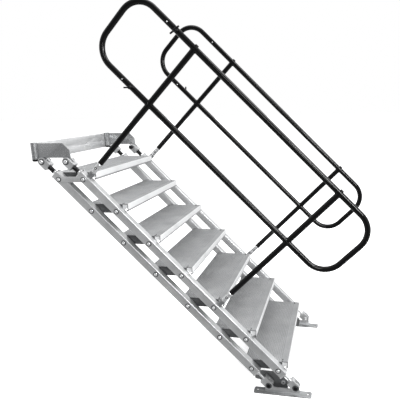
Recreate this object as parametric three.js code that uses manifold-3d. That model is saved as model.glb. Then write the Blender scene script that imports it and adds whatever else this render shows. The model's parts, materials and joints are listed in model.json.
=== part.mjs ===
// Stage stairs that follow the height of the stage. Two pairs of sloping tubes, one above the other,
// hang from a bracket on the stage and stand on two floor feet. Every tread is bolted to the lower and
// to the upper tube of both sides, so the treads stay level at every slope. Handrails stand on the
// upper tubes, and their uphill ends pull out.
//
// Frame in millimetres: +Z is up, +Y points at the stage, +X is the right side seen from the front.
// The origin is the middle of the face that meets the stage.

import * as THREE from 'three';
import { mergeVertices } from 'three/addons/utils/BufferGeometryUtils.js';
import Module from 'manifold-3d';

const wasm = await Module();
wasm.setup();

// Driving dimensions

const stairWidth = 1000; // over the outer faces of the tubes
const restSlope = THREE.MathUtils.degToRad(45);
const treadCount = 7;
const pivotPitch = 275; // from tread to tread, along the tubes
const pivotSpacing = 164; // level distance from a lower pivot to its upper pivot
const lugToTread = 150; // from the bracket's pivot to the first tread's
const treadToFoot = 150; // from the last tread's pivot to the foot's
const clearance = 0.3; // between pieces that touch or turn in each other
const overrun = 4; // how far a cutting tool passes the face that it cuts
const mergeShare = 0.001; // of the clearance, under which two points of a mesh are one

// Sloping tubes and what closes them

const tubeSize = 50;
const tubeWall = 3;
const tubeCorner = 3.5;
const tubeOverhang = 40; // beyond the outermost tread pivots
const plugLip = 8;
const plugLipRim = 3; // how far the lip passes the tube above and below
const plugDepth = 18;
const plugBossRadius = 12;
const plugBossLength = 12;

// Forks at the tube ends

const forkReach = 50; // from the pivot to the shoulder
const forkCheek = 14;
const forkSlotDepth = 32;
const neckRadius = 8;
const sleeveWall = 7;
const shankInTube = 25;

// Pivot bolts of the treads

const boltRadius = 5;
const boltHeadRadius = 10.5;
const boltHeadHeight = 5;
const boltDome = 2;
const washerRadius = 16.5;
const washerThickness = 2;
const treadNutRadius = 9.6;
const treadNutHeight = 8;
const boltEnd = 2; // what shows of the thread past its nut

// Pivot bolts of the bracket and the feet

const lugBoltRadius = 8;
const lugHeadRadius = 12.5;
const lugHeadHeight = 7;
const lugDome = 3;
const lugWasherRadius = 20;
const lugWasherThickness = 3;
const knobRadius = 14;
const knobLength = 32;
const knobChamfer = 3;
const footNutRadius = 14;
const footNutHeight = 11;

// Bracket on the stage: a plate between two corner tubes, and an ear on each tube

const bracketThickness = 8;
const bracketHeight = 108;
const cornerTubeRadius = 20;
const cornerTubeWall = 4;
const cornerTubeInset = 1; // from the stage face
const cornerTubeRise = 4; // above the plate's top edge
const cornerCapDrop = 57; // the caps' lower face below the middle of the stage face
const cornerCapDepth = 14;
const cornerCapChamfer = 5;
const bracketReach = 76; // from the stage face to the lower pivots
const lugRadius = 21;
const lugDrop = 56; // pivots below the middle of the stage face
const earEdge = 22; // the ears' lower edge above the pivots
const earNose = 17; // how far the ears pass the upper pivots
const earChamfer = 42;
const earFillet = 14;
const stageHoleRadius = 6.5;
const stageHoleShares = [0.34, 0.82]; // spacings of the pairs of holes, of the stair width

// Treads

const endPlateThickness = 5.4;
const deckThickness = 3;
const deckHeight = 36; // the walked face above the pivots
const deckBack = 50; // behind the lower pivot
const deckFront = 54; // ahead of the upper pivot
const deckFrontDepth = 34;
const deckBackDepth = 26;
const deckRollRadius = 5.5;
const endPlateLobe = 20;
const endPlateHeel = 10; // the plate's back and front edges end this far above the pivots
const nosingThickness = 2;
const nosingDepth = 30;
const nosingHeight = 36;
const linkThickness = 6;
const linkHalfHeight = 17;

// Feet

const footLength = 358;
const footWidth = 66;
const footThickness = 6;
const footCorner = 12;
const footHoleRadius = 7;
const footHoleFromEnd = 23;
const footHoleInset = 38;
const footDrop = 62; // the floor below the foot pivots
const footEarThickness = 9;
const footEarHalfWidth = 27;
const footArch = 22; // the ear's edge below the pivots between the lobes
const webThickness = 6;
const webInset = 56.5; // the web's outer face, in from the tubes' outer faces
const webTop = 66;
const webBack = 94; // uphill of the lower pivot
const webBackEdge = 8;
const webShoulder = 55; // downhill of the lower pivot, like the next three
const webFront = 118;
const webFootFront = 110;
const webFootBack = 6;
const ringRadius = 13;
const ringBore = 6;
const ringLength = 9;
const ringRun = 84;
const ringDrop = 1;

// Handrails

const railRadius = 16.85;
const railWall = 2.6;
const postOffset = 10; // downhill of the pivots of the first and the fifth tread
const postSteps = [0, 4]; // the treads that they stand at, counted from the first
const lowerRailRise = 612; // above the upper tubes' pivots
const upperRailRise = 1012;
const railBend = 125;
const railUphillEnd = 274; // uphill of the bracket's upper pivot
const railDownhillEnd = 1552;
const spigotRadius = 13.9;
const spigotWall = 2.6;
const spigotInsertion = 130;
const spigotRoot = 20; // how far the spigot runs into its bend piece
const buttonRadius = 4;
const buttonHeight = 1.6;
const buttonFromJoint = 41;
const postCapRadius = 11; // of the bolt cap on the upper rail over each post
const postCapHeight = 7;

// Stack that holds a post on its tube

const socketRadius = 16;
const socketBaseRadius = 18.5;
const socketBaseHeight = 3;
const socketHeight = 41;
const stackGap = 4; // between the socket and the clamp
const clampRadius = 15.2;
const clampHeight = 60;
const clampBoltRadius = 6;
const clampBoltHeight = 2;
const clampBoltRise = 33; // above the clamp's lower end
const postSpigotRadius = 12;
const postStart = 134; // the black tube's lower end above the pivots
const postSpigotEnd = 190;
const flangeRadius = 18.5;
const flangeHeight = 6;

// Wing screws on the outer sides of the rails

const bossRadius = 11;
const bossHeight = 9;
const screwRadius = 4;
const screwFromJoint = 26;
const wingSpan = 64;
const wingHeight = 20;
const wingThickness = 8;
const wingCorner = 3;
const wingHubRadius = 10;
const wingStem = 12;
const wingTurns = { left: { lower: 135, upper: 100 }, right: { lower: 45, upper: 0 } }; // from the rails

// Counts of sides and steps of round shapes

const boltSides = 8;
const roundSides = 16;
const tubeSides = 12;
const bendSteps = 14;
const arcSteps = 3;

// Materials

const finishes = {
  zinc: { color: 0xc6c9cc, roughness: 0.48, metalness: 0.75 },
  darkSteel: { color: 0x9fa2a6, roughness: 0.5, metalness: 0.7 },
  deck: { color: 0xbcbec1, roughness: 0.55, metalness: 0.7 },
  nosing: { color: 0xe7e8ea, roughness: 0.35, metalness: 0.8 },
  bright: { color: 0xe5e6e8, roughness: 0.25, metalness: 0.9 },
  black: { color: 0x111214, roughness: 0.35, metalness: 0.2 },
  blackSteel: { color: 0x1c1d20, roughness: 0.45, metalness: 0.4 },
};

// Helpers: solids, placing and outlines

function solid(geometry) {
  const bare = geometry.clone();
  bare.deleteAttribute('normal');
  bare.deleteAttribute('uv');
  const merged = mergeVertices(bare, clearance * mergeShare);
  const mesh = new wasm.Mesh({
    numProp: 3,
    vertProperties: new Float32Array(merged.attributes.position.array),
    triVerts: new Uint32Array(merged.index.array),
  });
  mesh.merge();
  return new wasm.Manifold(mesh);
}

function geometryOf(body) {
  const mesh = body.getMesh();
  const geometry = new THREE.BufferGeometry();
  geometry.setAttribute('position', new THREE.BufferAttribute(mesh.vertProperties, 3));
  geometry.setIndex(new THREE.BufferAttribute(mesh.triVerts, 1));
  geometry.computeVertexNormals();
  return geometry;
}

function joined(bodies) {
  return bodies.reduce((whole, body) => whole.add(body));
}

// An outline in run (downhill) and rise (up), made a plate that is centred on x = 0.
function sidePlate(outline, thickness) {
  const geometry = new THREE.ExtrudeGeometry(outline, {
    depth: thickness,
    bevelEnabled: false,
    curveSegments: arcSteps,
  });
  geometry.translate(0, 0, -thickness / 2);
  const basis = new THREE.Matrix4().makeBasis(
    new THREE.Vector3(0, -1, 0),
    new THREE.Vector3(0, 0, 1),
    new THREE.Vector3(-1, 0, 0),
  );
  return solid(geometry.applyMatrix4(basis));
}

// An outline in x and rise, made a bar that runs downhill from run 0.
function runBar(outline, length) {
  const geometry = new THREE.ExtrudeGeometry(outline, {
    depth: length,
    bevelEnabled: false,
    curveSegments: 1,
  });
  const basis = new THREE.Matrix4().makeBasis(
    new THREE.Vector3(1, 0, 0),
    new THREE.Vector3(0, 0, 1),
    new THREE.Vector3(0, -1, 0),
  );
  return solid(geometry.applyMatrix4(basis));
}

// An outline in x and run, made a plate that rises from 0.
function levelPlate(outline, thickness) {
  const geometry = new THREE.ExtrudeGeometry(outline, {
    depth: thickness,
    bevelEnabled: false,
    curveSegments: arcSteps,
  });
  const basis = new THREE.Matrix4().makeBasis(
    new THREE.Vector3(1, 0, 0),
    new THREE.Vector3(0, -1, 0),
    new THREE.Vector3(0, 0, -1),
  );
  return solid(geometry.applyMatrix4(basis)).translate([0, 0, thickness]);
}

// A closed profile of [radius, height] points turned about the height axis.
function turned(profile, sides) {
  const points = profile.map(([radius, height]) => new THREE.Vector2(radius, height));
  const geometry = new THREE.LatheGeometry(points, sides);
  return solid(geometry);
}

// Turned shapes have their axis on y; these lay it along x or stand it up.
function alongX(body) {
  return body.rotate([0, 0, -90]);
}

function upright(body) {
  return body.rotate([90, 0, 0]);
}

function rodX(radius, length, sides) {
  const half = length / 2;
  return alongX(turned([[0, -half], [radius, -half], [radius, half], [0, half]], sides));
}

function rodUp(radius, bottom, top, sides) {
  return upright(turned([[0, bottom], [radius, bottom], [radius, top], [0, top]], sides));
}

function box(width, length, height) {
  return solid(new THREE.BoxGeometry(width, length, height));
}

// A polyline with its corners rounded; each point is [a, b] or [a, b, radius].
function rounded(points) {
  const shape = new THREE.Shape();
  const count = points.length;
  points.forEach(([x, y, radius = 0], index) => {
    const here = new THREE.Vector2(x, y);
    const before = new THREE.Vector2(...points[(index + count - 1) % count].slice(0, 2)).sub(here);
    const after = new THREE.Vector2(...points[(index + 1) % count].slice(0, 2)).sub(here);
    const open = Math.abs(before.angleTo(after));
    const reach = radius > 0 ? radius / Math.tan(open / 2) : 0;
    const start = here.clone().addScaledVector(before.normalize(), reach);
    const end = here.clone().addScaledVector(after.normalize(), reach);
    if (index === 0) shape.moveTo(start.x, start.y);
    else shape.lineTo(start.x, start.y);
    if (radius > 0) {
      const inward = before.clone().add(after).normalize();
      const centre = here.clone().addScaledVector(inward, radius / Math.sin(open / 2));
      const from = start.clone().sub(centre).angle();
      const to = end.clone().sub(centre).angle();
      const turn = THREE.MathUtils.euclideanModulo(to - from, 2 * Math.PI);
      shape.absarc(centre.x, centre.y, radius, from, to, turn > Math.PI);
    }
  });
  shape.closePath();
  return shape;
}

// The corners of a regular polygon, counter-clockwise.
function polygonPoints(radius, count) {
  return Array.from({ length: count }, (unused, index) => {
    const turn = 2 * Math.PI * index / count;
    return new THREE.Vector2(radius * Math.cos(turn), radius * Math.sin(turn));
  });
}

function circleHole(x, y, radius, count) {
  const middle = new THREE.Vector2(x, y);
  const points = polygonPoints(radius, count).map((point) => point.add(middle));
  return new THREE.Path(points.reverse());
}

// Places that several pieces share

const treadSteps = Array.from({ length: treadCount }, (unused, index) => index);
const sides = { left: -1, right: 1 };
const tubeLength = (treadCount - 1) * pivotPitch + 2 * tubeOverhang;
const tubeStart = lugToTread - tubeOverhang;
const footRun = lugToTread + (treadCount - 1) * pivotPitch + treadToFoot;
const lowerLug = { run: bracketReach, rise: -lugDrop };
const upperLug = { run: bracketReach + pivotSpacing, rise: -lugDrop };
const deckEnd = pivotSpacing + deckFront;
const deckLength = stairWidth - 2 * (tubeSize + clearance);

// A bore's corner radius, so that its flats clear a round piece of this radius at any turn.
function bore(radius, count) {
  return (radius + clearance) / Math.cos(Math.PI / count);
}

const boltHole = bore(boltRadius, boltSides);
const lugBoltHole = bore(lugBoltRadius, tubeSides);
const neckHole = bore(neckRadius, tubeSides);
const postHole = bore(postSpigotRadius, tubeSides);

function slopeRun(along) {
  return along * Math.cos(restSlope);
}

function slopeRise(along) {
  return -along * Math.sin(restSlope);
}

// The x of a plane that lies this far in from the tubes' outer face.
function planeX(side, inset) {
  return sides[side] * (stairWidth / 2 - inset);
}

const stairs = new THREE.Group();

// A group whose own y axis runs uphill along a pair of tubes, with its origin on their lug pivots.
function inclined(lug) {
  const frame = new THREE.Group();
  frame.position.set(0, -lug.run, lug.rise);
  frame.rotation.x = restSlope;
  stairs.add(frame);
  return frame;
}

const frames = { lower: inclined(lowerLug), upper: inclined(upperLug) };

// A level group with its origin on the lower pivot that lies this far down the tubes.
function level(along) {
  const frame = new THREE.Group();
  frame.position.set(0, -lowerLug.run - slopeRun(along), lowerLug.rise + slopeRise(along));
  stairs.add(frame);
  return frame;
}

function place(parent, name, body, finish, position = [0, 0, 0]) {
  const material = new THREE.MeshStandardMaterial({ ...finishes[finish], name: finish });
  const mesh = new THREE.Mesh(geometryOf(body), material);
  mesh.name = name;
  mesh.position.set(...position);
  parent.add(mesh);
}

// Fasteners

// A bolt from its head, outside x = 0, to its nut, whose near face lies at the grip.
function pivotBolt(shape, grip, count) {
  const { radius, headRadius, headHeight, dome, rim, rimThickness, nut, nutLength, end } = shape;
  const seat = headHeight + rimThickness;
  const shank = alongX(turned([
    [0, 0],
    [headRadius - dome, 0],
    [headRadius, dome],
    [headRadius, headHeight],
    [rim, headHeight],
    [rim, seat],
    [radius, seat],
    [radius, seat + grip + nutLength + end],
    [0, seat + grip + nutLength + end],
  ], count)).translate([-seat, 0, 0]);
  return shank.add(nut(shape).translate([grip, 0, 0]));
}

function hexNut({ nutRadius, nutLength }) {
  return alongX(turned([[0, 0], [nutRadius, 0], [nutRadius, nutLength], [0, nutLength]], 6));
}

function roundKnob({ nutRadius, nutLength }) {
  return alongX(turned([
    [0, 0],
    [nutRadius, 0],
    [nutRadius, nutLength - knobChamfer],
    [nutRadius - knobChamfer, nutLength],
    [0, nutLength],
  ], tubeSides));
}

const treadBolt = {
  radius: boltRadius,
  headRadius: boltHeadRadius,
  headHeight: boltHeadHeight,
  dome: boltDome,
  rim: washerRadius,
  rimThickness: washerThickness,
  nut: hexNut,
  nutRadius: treadNutRadius,
  nutLength: treadNutHeight,
  end: -clearance,
};

const footBolt = {
  radius: lugBoltRadius,
  headRadius: lugHeadRadius,
  headHeight: lugHeadHeight,
  dome: lugDome,
  rim: lugWasherRadius,
  rimThickness: lugWasherThickness,
  nut: hexNut,
  nutRadius: footNutRadius,
  nutLength: footNutHeight,
  end: boltEnd,
};

const bracketBolt = {
  ...footBolt,
  nut: roundKnob,
  nutRadius: knobRadius,
  nutLength: knobLength,
  end: -knobChamfer,
};

// Sloping tubes

// A tube with its end plugs and the pivot bolts of its treads, from its uphill end downhill.
function stringerTube(side) {
  const half = tubeSize / 2;
  const inner = half - tubeWall;
  const outline = rounded([
    [-half, -half, tubeCorner],
    [half, -half, tubeCorner],
    [half, half, tubeCorner],
    [-half, half, tubeCorner],
  ]);
  outline.holes.push(rounded([
    [-inner, -inner, tubeCorner - tubeWall],
    [-inner, inner, tubeCorner - tubeWall],
    [inner, inner, tubeCorner - tubeWall],
    [inner, -inner, tubeCorner - tubeWall],
  ]));
  const tube = runBar(outline, tubeLength);
  const plugs = [tubePlug(), tubePlug().rotate([0, 0, 180]).translate([0, -tubeLength, 0])];
  const toInner = tubeSize + 2 * clearance + endPlateThickness;
  const turn = side === 'left' ? 0 : 180;
  const bolts = treadSteps.map((step) => {
    const seat = step === 0 ? linkThickness + 2 * clearance : -clearance;
    return pivotBolt(treadBolt, seat + toInner, boltSides)
      .translate([-seat - half, 0, 0])
      .rotate([0, 0, turn])
      .translate([0, -tubeOverhang - step * pivotPitch, 0]);
  });
  return joined([tube, ...plugs, ...bolts]);
}

// The plug that closes a tube's uphill end: a lip, a body inside the tube and a boss for the neck.
function tubePlug() {
  const inside = tubeSize - tubeWall;
  const body = box(inside, plugDepth + plugLip, inside).translate([0, (plugLip - plugDepth) / 2, 0]);
  const lip = box(inside, plugLip, tubeSize + 2 * plugLipRim).translate([0, plugLip / 2, 0]);
  const boss = turned([
    [0, 0],
    [plugBossRadius, 0],
    [plugBossRadius, plugLip + plugBossLength],
    [0, plugLip + plugBossLength],
  ], tubeSides);
  const reach = plugDepth + plugLip + plugBossLength + 2 * overrun;
  const hole = rodX(neckHole, 2 * reach, tubeSides).rotate([0, 0, 90]);
  return joined([body, lip, boss]).subtract(hole);
}

// A fork with its pivot at the origin and its shank pointing downhill.
function fork() {
  const half = tubeSize / 2;
  const outline = new THREE.Shape();
  outline.moveTo(0, half);
  outline.absarc(0, 0, half, Math.PI / 2, 1.5 * Math.PI, false);
  outline.lineTo(forkReach, -half);
  outline.lineTo(forkReach, half);
  outline.closePath();
  const shankEnd = tubeStart + shankInTube;
  const shank = turned(
    [[0, forkSlotDepth], [neckRadius, forkSlotDepth], [neckRadius, shankEnd], [0, shankEnd]],
    tubeSides,
  ).rotate([0, 0, 180]);
  const slotLength = half + forkSlotDepth + overrun;
  const slot = box(tubeSize - 2 * forkCheek, slotLength, tubeSize + 2 * overrun)
    .translate([0, slotLength / 2 - forkSlotDepth, 0]);
  const hole = rodX(lugBoltHole, tubeSize + 2 * overrun, tubeSides);
  return joined([sidePlate(outline, tubeSize), shank]).subtract(slot).subtract(hole);
}

// The black sleeve on a fork's neck at the uphill end.
function neckSleeve() {
  const start = forkReach - clearance;
  const end = tubeStart - plugLip - plugBossLength - clearance;
  const outer = neckRadius + sleeveWall;
  return turned([[0, start], [outer, start], [outer, end], [0, end]], tubeSides).rotate([0, 0, 180]);
}

function addTubes(tier, frame) {
  Object.keys(sides).forEach((side) => {
    const x = planeX(side, tubeSize / 2);
    place(frame, `${tier}_tube_${side}`, stringerTube(side), 'zinc', [x, -tubeStart, 0]);
    place(frame, `${tier}_fork_top_${side}`, fork().add(neckSleeve()), 'zinc', [x, 0, 0]);
    place(frame, `${tier}_fork_foot_${side}`, fork().rotate([0, 0, 180]), 'zinc', [x, -footRun, 0]);
  });
}

// Bracket on the stage

// The tube that stands at an end of the plate, with the cap on its lower end, before it is bored.
function cornerTube() {
  const top = bracketHeight / 2 + cornerTubeRise;
  return upright(turned([
    [0, -cornerCapDrop],
    [cornerTubeRadius - cornerCapChamfer, -cornerCapDrop],
    [cornerTubeRadius, cornerCapChamfer - cornerCapDrop],
    [cornerTubeRadius, top],
    [0, top],
  ], roundSides));
}

// The ear that carries both pivots of one side, from the middle of its corner tube downhill.
function bracketEar(cornerRun) {
  const top = bracketHeight / 2;
  const edge = -lugDrop + earEdge;
  const noseRun = upperLug.run + earNose;
  const filletRuns = [lowerLug.run + lugRadius + earFillet, upperLug.run - lugRadius - earFillet];
  const outline = new THREE.Shape();
  outline.moveTo(cornerRun, -top);
  outline.lineTo(lowerLug.run - lugRadius, -lugDrop);
  outline.absarc(lowerLug.run, -lugDrop, lugRadius, Math.PI, 2 * Math.PI, false);
  outline.lineTo(lowerLug.run + lugRadius, edge - earFillet);
  outline.absarc(filletRuns[0], edge - earFillet, earFillet, Math.PI, Math.PI / 2, true);
  outline.lineTo(filletRuns[1], edge);
  outline.absarc(filletRuns[1], edge - earFillet, earFillet, Math.PI / 2, 0, true);
  outline.lineTo(upperLug.run - lugRadius, -lugDrop);
  outline.absarc(upperLug.run, -lugDrop, lugRadius, Math.PI, 2 * Math.PI, false);
  outline.lineTo(upperLug.run + lugRadius, -lugDrop + earFillet);
  outline.lineTo(noseRun, top - earChamfer);
  outline.lineTo(noseRun - earChamfer, top);
  outline.lineTo(cornerRun, top);
  outline.closePath();
  return sidePlate(outline, bracketThickness);
}

function topBracket() {
  const earX = planeX('right', tubeSize / 2);
  const cornerRun = cornerTubeInset + cornerTubeRadius;
  const cornerBore = rodUp(
    cornerTubeRadius - cornerTubeWall,
    cornerCapDepth - cornerCapDrop,
    bracketHeight,
    roundSides,
  );
  const plate = box(2 * earX, bracketThickness, bracketHeight).translate([0, -bracketThickness / 2, 0]);
  const ends = [-earX, earX].flatMap((x) => [
    bracketEar(cornerRun).translate([x, 0, 0]),
    cornerTube().translate([x, -cornerRun, 0]),
  ]);
  const bores = [-earX, earX].map((x) => cornerBore.translate([x, -cornerRun, 0]));
  const pivots = [lowerLug, upperLug].map(({ run, rise }) => rodX(lugBoltHole, stairWidth, tubeSides)
    .translate([0, -run, rise]));
  const stageHoles = stageHoleShares.flatMap((share) => [-1, 1]
    .map((way) => turned([
      [0, -overrun],
      [stageHoleRadius, -overrun],
      [stageHoleRadius, bracketThickness + overrun],
      [0, bracketThickness + overrun],
    ], tubeSides).rotate([0, 0, 180]).translate([way * share * stairWidth / 2, 0, 0])));
  return joined([plate, ...ends]).subtract(joined([...bores, ...pivots, ...stageHoles]));
}

function addBracket() {
  place(stairs, 'top_bracket', topBracket(), 'darkSteel');
  Object.keys(sides).forEach((side) => {
    Object.entries({ lower: lowerLug, upper: upperLug }).forEach(([tier, { run, rise }]) => {
      const bolt = pivotBolt(bracketBolt, tubeSize + 2 * clearance, tubeSides);
      const facing = side === 'left' ? bolt : bolt.rotate([0, 0, 180]);
      place(stairs, `bracket_bolt_${side}_${tier}`, facing, 'bright', [planeX(side, -clearance), -run, rise]);
    });
  });
}

// Treads, with run 0 and rise 0 on their lower pivots

const plateTop = deckHeight - deckThickness / 2;
const plateBack = deckThickness / 2 - deckBack;
const plateFront = deckEnd - deckThickness / 2;

function treadDeck() {
  const roll = deckRollRadius;
  const rollInner = roll - deckThickness;
  const rollRise = deckHeight - deckFrontDepth - roll;
  const rollRun = deckEnd - roll;
  const outline = new THREE.Shape();
  outline.moveTo(-deckBack, deckHeight);
  outline.lineTo(-deckBack, deckHeight - deckBackDepth);
  outline.lineTo(deckThickness - deckBack, deckHeight - deckBackDepth);
  outline.lineTo(deckThickness - deckBack, deckHeight - deckThickness);
  outline.lineTo(deckEnd - deckThickness, deckHeight - deckThickness);
  outline.lineTo(deckEnd - deckThickness, rollRise);
  outline.absarc(rollRun, rollRise, rollInner, 0, Math.PI, true);
  outline.lineTo(rollRun - roll, rollRise);
  outline.absarc(rollRun, rollRise, roll, Math.PI, 2 * Math.PI, false);
  outline.lineTo(deckEnd, deckHeight);
  outline.closePath();
  return sidePlate(outline, deckLength);
}

function treadNosing() {
  const top = deckHeight + clearance;
  const front = deckEnd + clearance;
  const outline = new THREE.Shape();
  outline.moveTo(front, top);
  outline.lineTo(front, top + nosingThickness - nosingHeight);
  outline.lineTo(front + nosingThickness, top + nosingThickness - nosingHeight);
  outline.lineTo(front + nosingThickness, top + nosingThickness);
  outline.lineTo(front + nosingThickness - nosingDepth, top + nosingThickness);
  outline.lineTo(front + nosingThickness - nosingDepth, top);
  outline.closePath();
  return sidePlate(outline, deckLength);
}

function treadEndPlate() {
  const lobe = endPlateLobe;
  const outline = new THREE.Shape();
  outline.moveTo(plateBack, plateTop);
  outline.lineTo(plateBack, endPlateHeel);
  outline.lineTo(-lobe, 0);
  outline.absarc(0, 0, lobe, Math.PI, 1.5 * Math.PI, false);
  outline.absarc(pivotSpacing, 0, lobe, 1.5 * Math.PI, 2 * Math.PI, false);
  outline.lineTo(plateFront, endPlateHeel);
  outline.lineTo(plateFront, plateTop);
  outline.closePath();
  outline.holes.push(...[0, pivotSpacing].map((run) => circleHole(run, 0, boltHole, boltSides)));
  return outline;
}

function addTread(step) {
  const frame = level(lugToTread + step * pivotPitch);
  const name = `tread_${step + 1}`;
  const plateCentre = tubeSize + clearance + endPlateThickness / 2;
  const plates = Object.keys(sides).map((side) => sidePlate(treadEndPlate(), endPlateThickness)
    .translate([planeX(side, plateCentre), 0, 0]));
  place(frame, `${name}_deck`, joined([treadDeck(), ...plates]), 'deck');
  place(frame, `${name}_nosing`, treadNosing(), 'nosing');
  if (step === 0) addLinks(frame);
}

// The flat links that tie the first lower and upper pivots together outside the tubes.
function addLinks(frame) {
  const half = linkHalfHeight;
  const outline = new THREE.Shape();
  outline.moveTo(0, half);
  outline.absarc(0, 0, half, Math.PI / 2, 1.5 * Math.PI, false);
  outline.absarc(pivotSpacing, 0, half, -Math.PI / 2, Math.PI / 2, false);
  outline.closePath();
  outline.holes.push(...[0, pivotSpacing].map((run) => circleHole(run, 0, boltHole, boltSides)));
  const inset = -clearance - linkThickness / 2;
  Object.keys(sides).forEach((side) => {
    const link = sidePlate(outline, linkThickness);
    place(frame, `tread_1_link_${side}`, link, 'zinc', [planeX(side, inset), 0, 0]);
  });
}

// Feet, with run 0 and rise 0 on their lower pivots

const footMiddle = pivotSpacing / 2;
const footTop = footThickness - footDrop;

function footBase(side) {
  const back = footMiddle - footLength / 2;
  const front = footMiddle + footLength / 2;
  const left = Math.min(planeX(side, 0), planeX(side, footWidth));
  const outline = rounded([
    [left, back, footCorner],
    [left + footWidth, back, footCorner],
    [left + footWidth, front, footCorner],
    [left, front, footCorner],
  ]);
  outline.holes.push(...[-1, 1].map((way) => circleHole(
    planeX(side, footHoleInset),
    footMiddle + way * (footLength / 2 - footHoleFromEnd),
    footHoleRadius,
    tubeSides,
  )));
  return levelPlate(outline, footThickness).translate([0, 0, -footDrop]);
}

// The ear that stands between the cheeks of both forks.
function footEar() {
  const lobe = lugRadius;
  const seat = footTop - footThickness / 2;
  const outline = new THREE.Shape();
  outline.moveTo(-footEarHalfWidth, seat);
  outline.lineTo(pivotSpacing + footEarHalfWidth, seat);
  outline.lineTo(pivotSpacing + lobe, 0);
  outline.absarc(pivotSpacing, 0, lobe, 0, Math.PI, false);
  outline.lineTo(pivotSpacing - footEarHalfWidth, -footArch);
  outline.lineTo(footEarHalfWidth, -footArch);
  outline.lineTo(lobe, 0);
  outline.absarc(0, 0, lobe, 0, Math.PI, false);
  outline.closePath();
  return sidePlate(outline, footEarThickness);
}

// The tall web inside the tubes, which carries the lower pivot.
function footWeb() {
  const seat = footTop - footThickness / 2;
  const outline = new THREE.Shape();
  outline.moveTo(webFootBack, seat);
  outline.lineTo(webFootFront, seat);
  outline.lineTo(webFront, 0);
  outline.lineTo(webShoulder, webTop);
  outline.lineTo(-webBack, webTop);
  outline.lineTo(-webBack, webBackEdge);
  outline.lineTo(-lugRadius, -webBackEdge);
  outline.closePath();
  return sidePlate(outline, webThickness);
}

function foot(side) {
  const earX = planeX(side, tubeSize / 2);
  const webX = planeX(side, webInset + webThickness / 2);
  const ringX = planeX(side, webInset + clearance - ringLength / 2);
  const ring = rodX(ringRadius, ringLength, tubeSides);
  const ringHole = rodX(ringBore, ringLength + 2 * webThickness + 2 * overrun, boltSides);
  const welded = joined([
    footBase(side),
    footEar().translate([earX, 0, 0]),
    footWeb().translate([webX, 0, 0]),
    ring.translate([ringX, -ringRun, -ringDrop]),
  ]);
  const bores = [0, pivotSpacing].map((run) => rodX(lugBoltHole, 2 * footWidth, tubeSides)
    .translate([earX, -run, 0]));
  return welded.subtract(joined([...bores, ringHole.translate([ringX, -ringRun, -ringDrop])]));
}

function addFoot(side) {
  const frame = level(footRun);
  place(frame, `foot_${side}`, foot(side), 'zinc');
  const bolts = {
    lower: { run: 0, grip: webInset + webThickness + 2 * clearance },
    upper: { run: pivotSpacing, grip: tubeSize + 2 * clearance },
  };
  Object.entries(bolts).forEach(([tier, { run, grip }]) => {
    const bolt = pivotBolt(footBolt, grip, tubeSides);
    const facing = side === 'left' ? bolt : bolt.rotate([0, 0, 180]);
    place(frame, `foot_${side}_bolt_${tier}`, facing, 'bright', [planeX(side, -clearance), -run, 0]);
  });
}

// Handrails, in the frame of the upper tubes

// A flat path of run and rise, as a curve in the plane of one side.
class SidePath extends THREE.Curve {
  constructor(path) {
    super();
    this.path = path;
  }

  getPoint(share, target = new THREE.Vector3()) {
    const { x: run, y: rise } = this.path.getPoint(share);
    return target.set(0, -run, rise);
  }
}

// Both rails from their start to the bend that joins them; way is 1 downhill and -1 uphill.
function railLoop(start, end, way) {
  const bendRun = end - way * railBend;
  const lowerArc = [bendRun, lowerRailRise + railBend, railBend, -Math.PI / 2];
  const upperArc = [bendRun, upperRailRise - railBend, railBend];
  const path = new THREE.Path();
  path.moveTo(bendRun, lowerRailRise);
  path.absarc(...lowerArc, way > 0 ? 0 : -Math.PI, way < 0);
  path.lineTo(end, upperRailRise - railBend);
  path.absarc(...upperArc, way > 0 ? 0 : Math.PI, Math.PI / 2, way < 0);
  const bend = solid(new THREE.ExtrudeGeometry(new THREE.Shape(polygonPoints(railRadius, tubeSides)), {
    steps: bendSteps,
    extrudePath: new SidePath(path),
  }));
  const joint = bendRun + way * clearance;
  const rails = Object.values(railRises).map((rise) => rodAlong(
    railRadius,
    Math.min(start, joint),
    Math.max(start, joint),
    tubeSides,
  ).translate([0, 0, rise]));
  return joined([bend, ...rails]);
}

function rodAlong(radius, fromRun, toRun, count) {
  return turned([[0, fromRun], [radius, fromRun], [radius, toRun], [0, toRun]], count).rotate([0, 0, 180]);
}

const railRises = { lower: lowerRailRise, upper: upperRailRise };
const postRuns = postSteps.map((step) => lugToTread + step * pivotPitch + postOffset);
const railBore = railRadius - railWall;
const bossReach = railRadius + bossHeight;

// The rails of the left side, whose outer side is -x.
function handrail() {
  const loop = railLoop(0, railDownhillEnd, 1);
  const posts = postRuns.map((run) => rodUp(railRadius, postStart, upperRailRise, tubeSides)
    .translate([0, -run, 0]));
  const bosses = Object.values(railRises).map((rise) => rodX(bossRadius, bossReach, tubeSides)
    .translate([-bossReach / 2, -screwFromJoint, rise]));
  const capTop = upperRailRise + railRadius + postCapHeight;
  const caps = postRuns.map((run) => rodUp(postCapRadius, upperRailRise, capTop, tubeSides)
    .translate([0, -run, 0]));
  const railBores = Object.values(railRises).map((rise) => rodAlong(
    railBore,
    -overrun,
    railDownhillEnd - railBend,
    tubeSides,
  ).translate([0, 0, rise]));
  const screwReach = bossReach + overrun;
  const screwHoles = Object.values(railRises).map((rise) => rodX(
    bore(screwRadius, boltSides),
    screwReach,
    boltSides,
  ).translate([-screwReach / 2, -screwFromJoint, rise]));
  const postBores = postRuns.map((run) => rodUp(postHole, postStart - overrun, upperRailRise, tubeSides)
    .translate([0, -run, 0]));
  const flanges = postRuns.map((run) => rodUp(flangeRadius, postStart, postStart + flangeHeight, roundSides)
    .translate([0, -run, 0]));
  const cuts = joined([...railBores, ...screwHoles, ...postBores]);
  return joined([loop, ...posts, ...flanges, ...bosses, ...caps]).subtract(cuts);
}

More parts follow.
